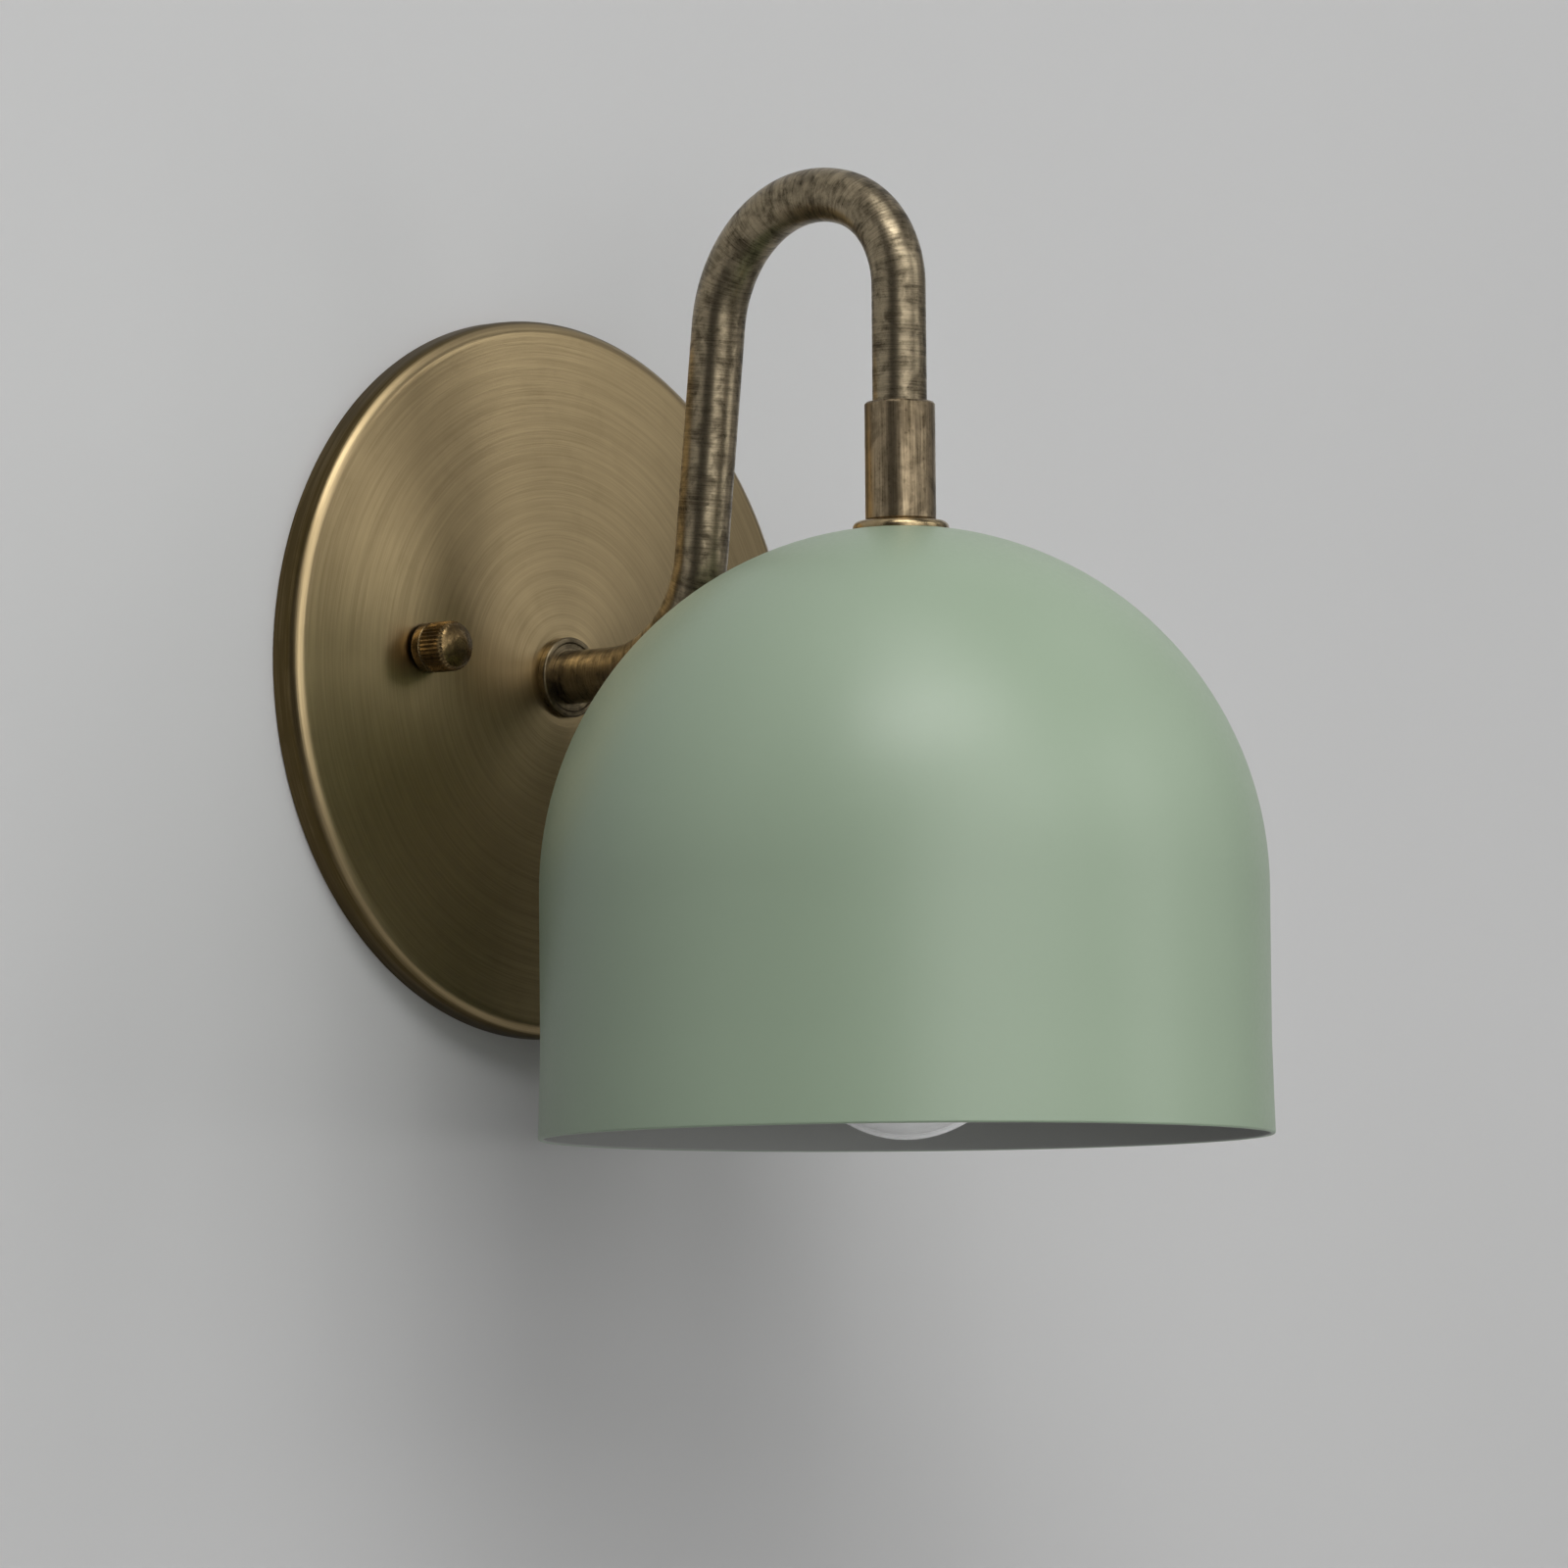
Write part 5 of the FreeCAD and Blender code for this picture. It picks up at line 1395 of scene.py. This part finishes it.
@dataclass
class Studio:
    """Wall, floor, soft light and camera."""

    azimuth: float = -46.98
    pitch: float = 4.13
    roll: float = -0.51
    focal_px: float = 10994.0
    distance: float = 2.0
    target: tuple[float, float, float] = (0.0366, -0.03, -0.0191)
    floor_z: float = -1.1
    lamp_distance: float = 2.2
    box_size: float = 0.85
    dim_level: float = 0.03
    backdrop_level: float = 0.75

    def camera(self) -> None:
        """Camera at the photograph's viewing angle, for a frame of 1600 by 1600."""
        data = bpy.data.cameras.new("camera")
        obj = bpy.data.objects.new("camera", data)
        bpy.context.collection.objects.link(obj)
        data.sensor_width = 36.0
        data.lens = self.focal_px / 1600 * data.sensor_width
        data.clip_end = 50
        turn, pitch, roll = (math.radians(a) for a in (self.azimuth, self.pitch, self.roll))
        level = Vector((math.cos(turn), math.sin(turn), 0))
        ahead = Vector((-math.sin(turn) * math.cos(pitch), math.cos(turn) * math.cos(pitch), math.sin(pitch)))
        plumb = level.cross(ahead)
        right = level * math.cos(roll) + plumb * math.sin(roll)
        above = plumb * math.cos(roll) - level * math.sin(roll)
        spot = Vector(self.target) - ahead * self.distance
        grid = Matrix((right, above, -ahead)).transposed().to_4x4()
        obj.matrix_world = Matrix.Translation(spot) @ grid
        bpy.context.scene.camera = obj

    def soft_box(self, azimuth: float, elevation: float, watts: float) -> None:
        """Square lamp that looks at the lamp's middle from a bearing, in degrees."""
        middle = Vector((0.0, -0.08, -0.02))
        turn, lift = math.radians(azimuth), math.radians(elevation)
        bearing = Vector((math.sin(turn) * math.cos(lift), -math.cos(turn) * math.cos(lift), math.sin(lift)))
        data = bpy.data.lights.new(f"soft_box_{azimuth}_{elevation}", "AREA")
        data.shape = "SQUARE"
        data.size, data.energy = self.box_size, watts
        obj = bpy.data.objects.new(data.name, data)
        bpy.context.collection.objects.link(obj)
        obj.location = middle + bearing * self.lamp_distance
        obj.rotation_euler = (middle - obj.location).to_track_quat("-Z", "Y").to_euler()

    def lamps(self) -> None:
        """Dome of soft boxes on the room's side, and one behind the wall for the hollow of the plate."""
        for elevation, ring in SOFT_BOXES.items():
            for azimuth, watts in ring.items():
                self.soft_box(azimuth, elevation, watts)
        self.soft_box(*REAR_BOX)

    def world(self) -> None:
        """Dim even surroundings, which the camera and clear glass see as a pale backdrop."""
        world = bpy.data.worlds.new("surroundings")
        bpy.context.scene.world = world
        world.use_nodes = True
        tree = Tree(world.node_tree)
        back = world.node_tree.nodes["Background"]
        back.inputs[0].default_value = rgba((1.0, 1.0, 1.0))
        path = tree.add("LightPath").outputs
        seen = tree.math("MAXIMUM", path["Is Camera Ray"], path["Is Transmission Ray"])
        shown = tree.times(seen, self.backdrop_level - self.dim_level)
        tree.feed(back.inputs[1], tree.plus(shown, self.dim_level))

    def backdrop(self) -> None:
        """Pale floor, and a wall that is open behind the back plate and clear from behind."""
        select_none()
        bpy.ops.mesh.primitive_plane_add(size=12, location=(0, -6, self.floor_z))
        floor = named("floor")
        floor.data.materials.append(self.plain("floor_paint", FLOOR_TONE, FLOOR_TONE, glow=0.8))
        select_none()
        bpy.ops.mesh.primitive_circle_add(vertices=128, radius=0.065, location=(0, 0, 0), rotation=(math.pi / 2, 0, 0))
        wall = settle(named("wall"))
        edit(wall)
        bpy.ops.mesh.extrude_region_move()
        bpy.ops.transform.resize(value=(50, 1, 50), center_override=(0, 0, 0))
        close_mesh()
        if sum(face.normal.y for face in wall.data.polygons) > 0:
            wall.data.flip_normals()
        wall.data.materials.append(self.plain("wall_paint", WALL_BOUNCE, WALL_TONE))

    def plain(self, name: str, colour: Colour, shown: Colour, glow: float = 0.0) -> Material:
        """Matt stage paint, which the camera sees through from its back.

        Args:
            name: Name of the material.
            colour: How it colours the light that it throws on the lamp.
            shown: How the camera, glass and mirroring metal see it.
            glow: Share of its colour that the camera sees even where little light falls.

        Returns:
            The material.
        """
        made, tree = blank_material(name)
        path = tree.add("LightPath").outputs
        camera = path["Is Camera Ray"]
        seen = tree.math("MAXIMUM", camera, tree.math("MAXIMUM", path["Is Glossy Ray"], path["Is Transmission Ray"]))
        place = tree.add("TexCoord").outputs["Object"]
        bare = tree.blend(seen, rgba(colour), rgba(shown))
        tone = tree.blend(tree.times(tree.noise(place, 6.0, 4.0, 0.55), 0.06), bare, rgba((0.0, 0.0, 0.0)))
        shader = tree.add("BsdfDiffuse", {"Color": tone}).outputs[0]
        if glow:
            light = tree.add("Emission", {"Color": tone, "Strength": tree.times(camera, glow)}).outputs[0]
            shader = tree.add("AddShader", {0: shader, 1: light}).outputs[0]
        back = tree.times(tree.add("NewGeometry").outputs["Backfacing"], camera)
        clear = tree.add("BsdfTransparent").outputs[0]
        tree.surface(tree.add("MixShader", {0: back, 1: shader, 2: clear}).outputs[0])
        return made

    def build(self) -> None:
        """Everything round the lamp."""
        self.world()
        self.backdrop()
        self.lamps()
        self.camera()
        bpy.context.scene.view_settings.view_transform = "Standard"


def main() -> None:
    """Build the studio and the lamp, sub-assembly by sub-assembly."""
    logging.basicConfig(level=logging.INFO, format="%(name)s: %(message)s")
    select_none()
    for assembly in (Studio(), WallSide(), Arm(), Shade(), LampHolder(), Bulb(), Wiring()):
        LOG.info("building %s", type(assembly).__name__)
        assembly.build()
    select_none()


if __name__ == "__main__":
    main()
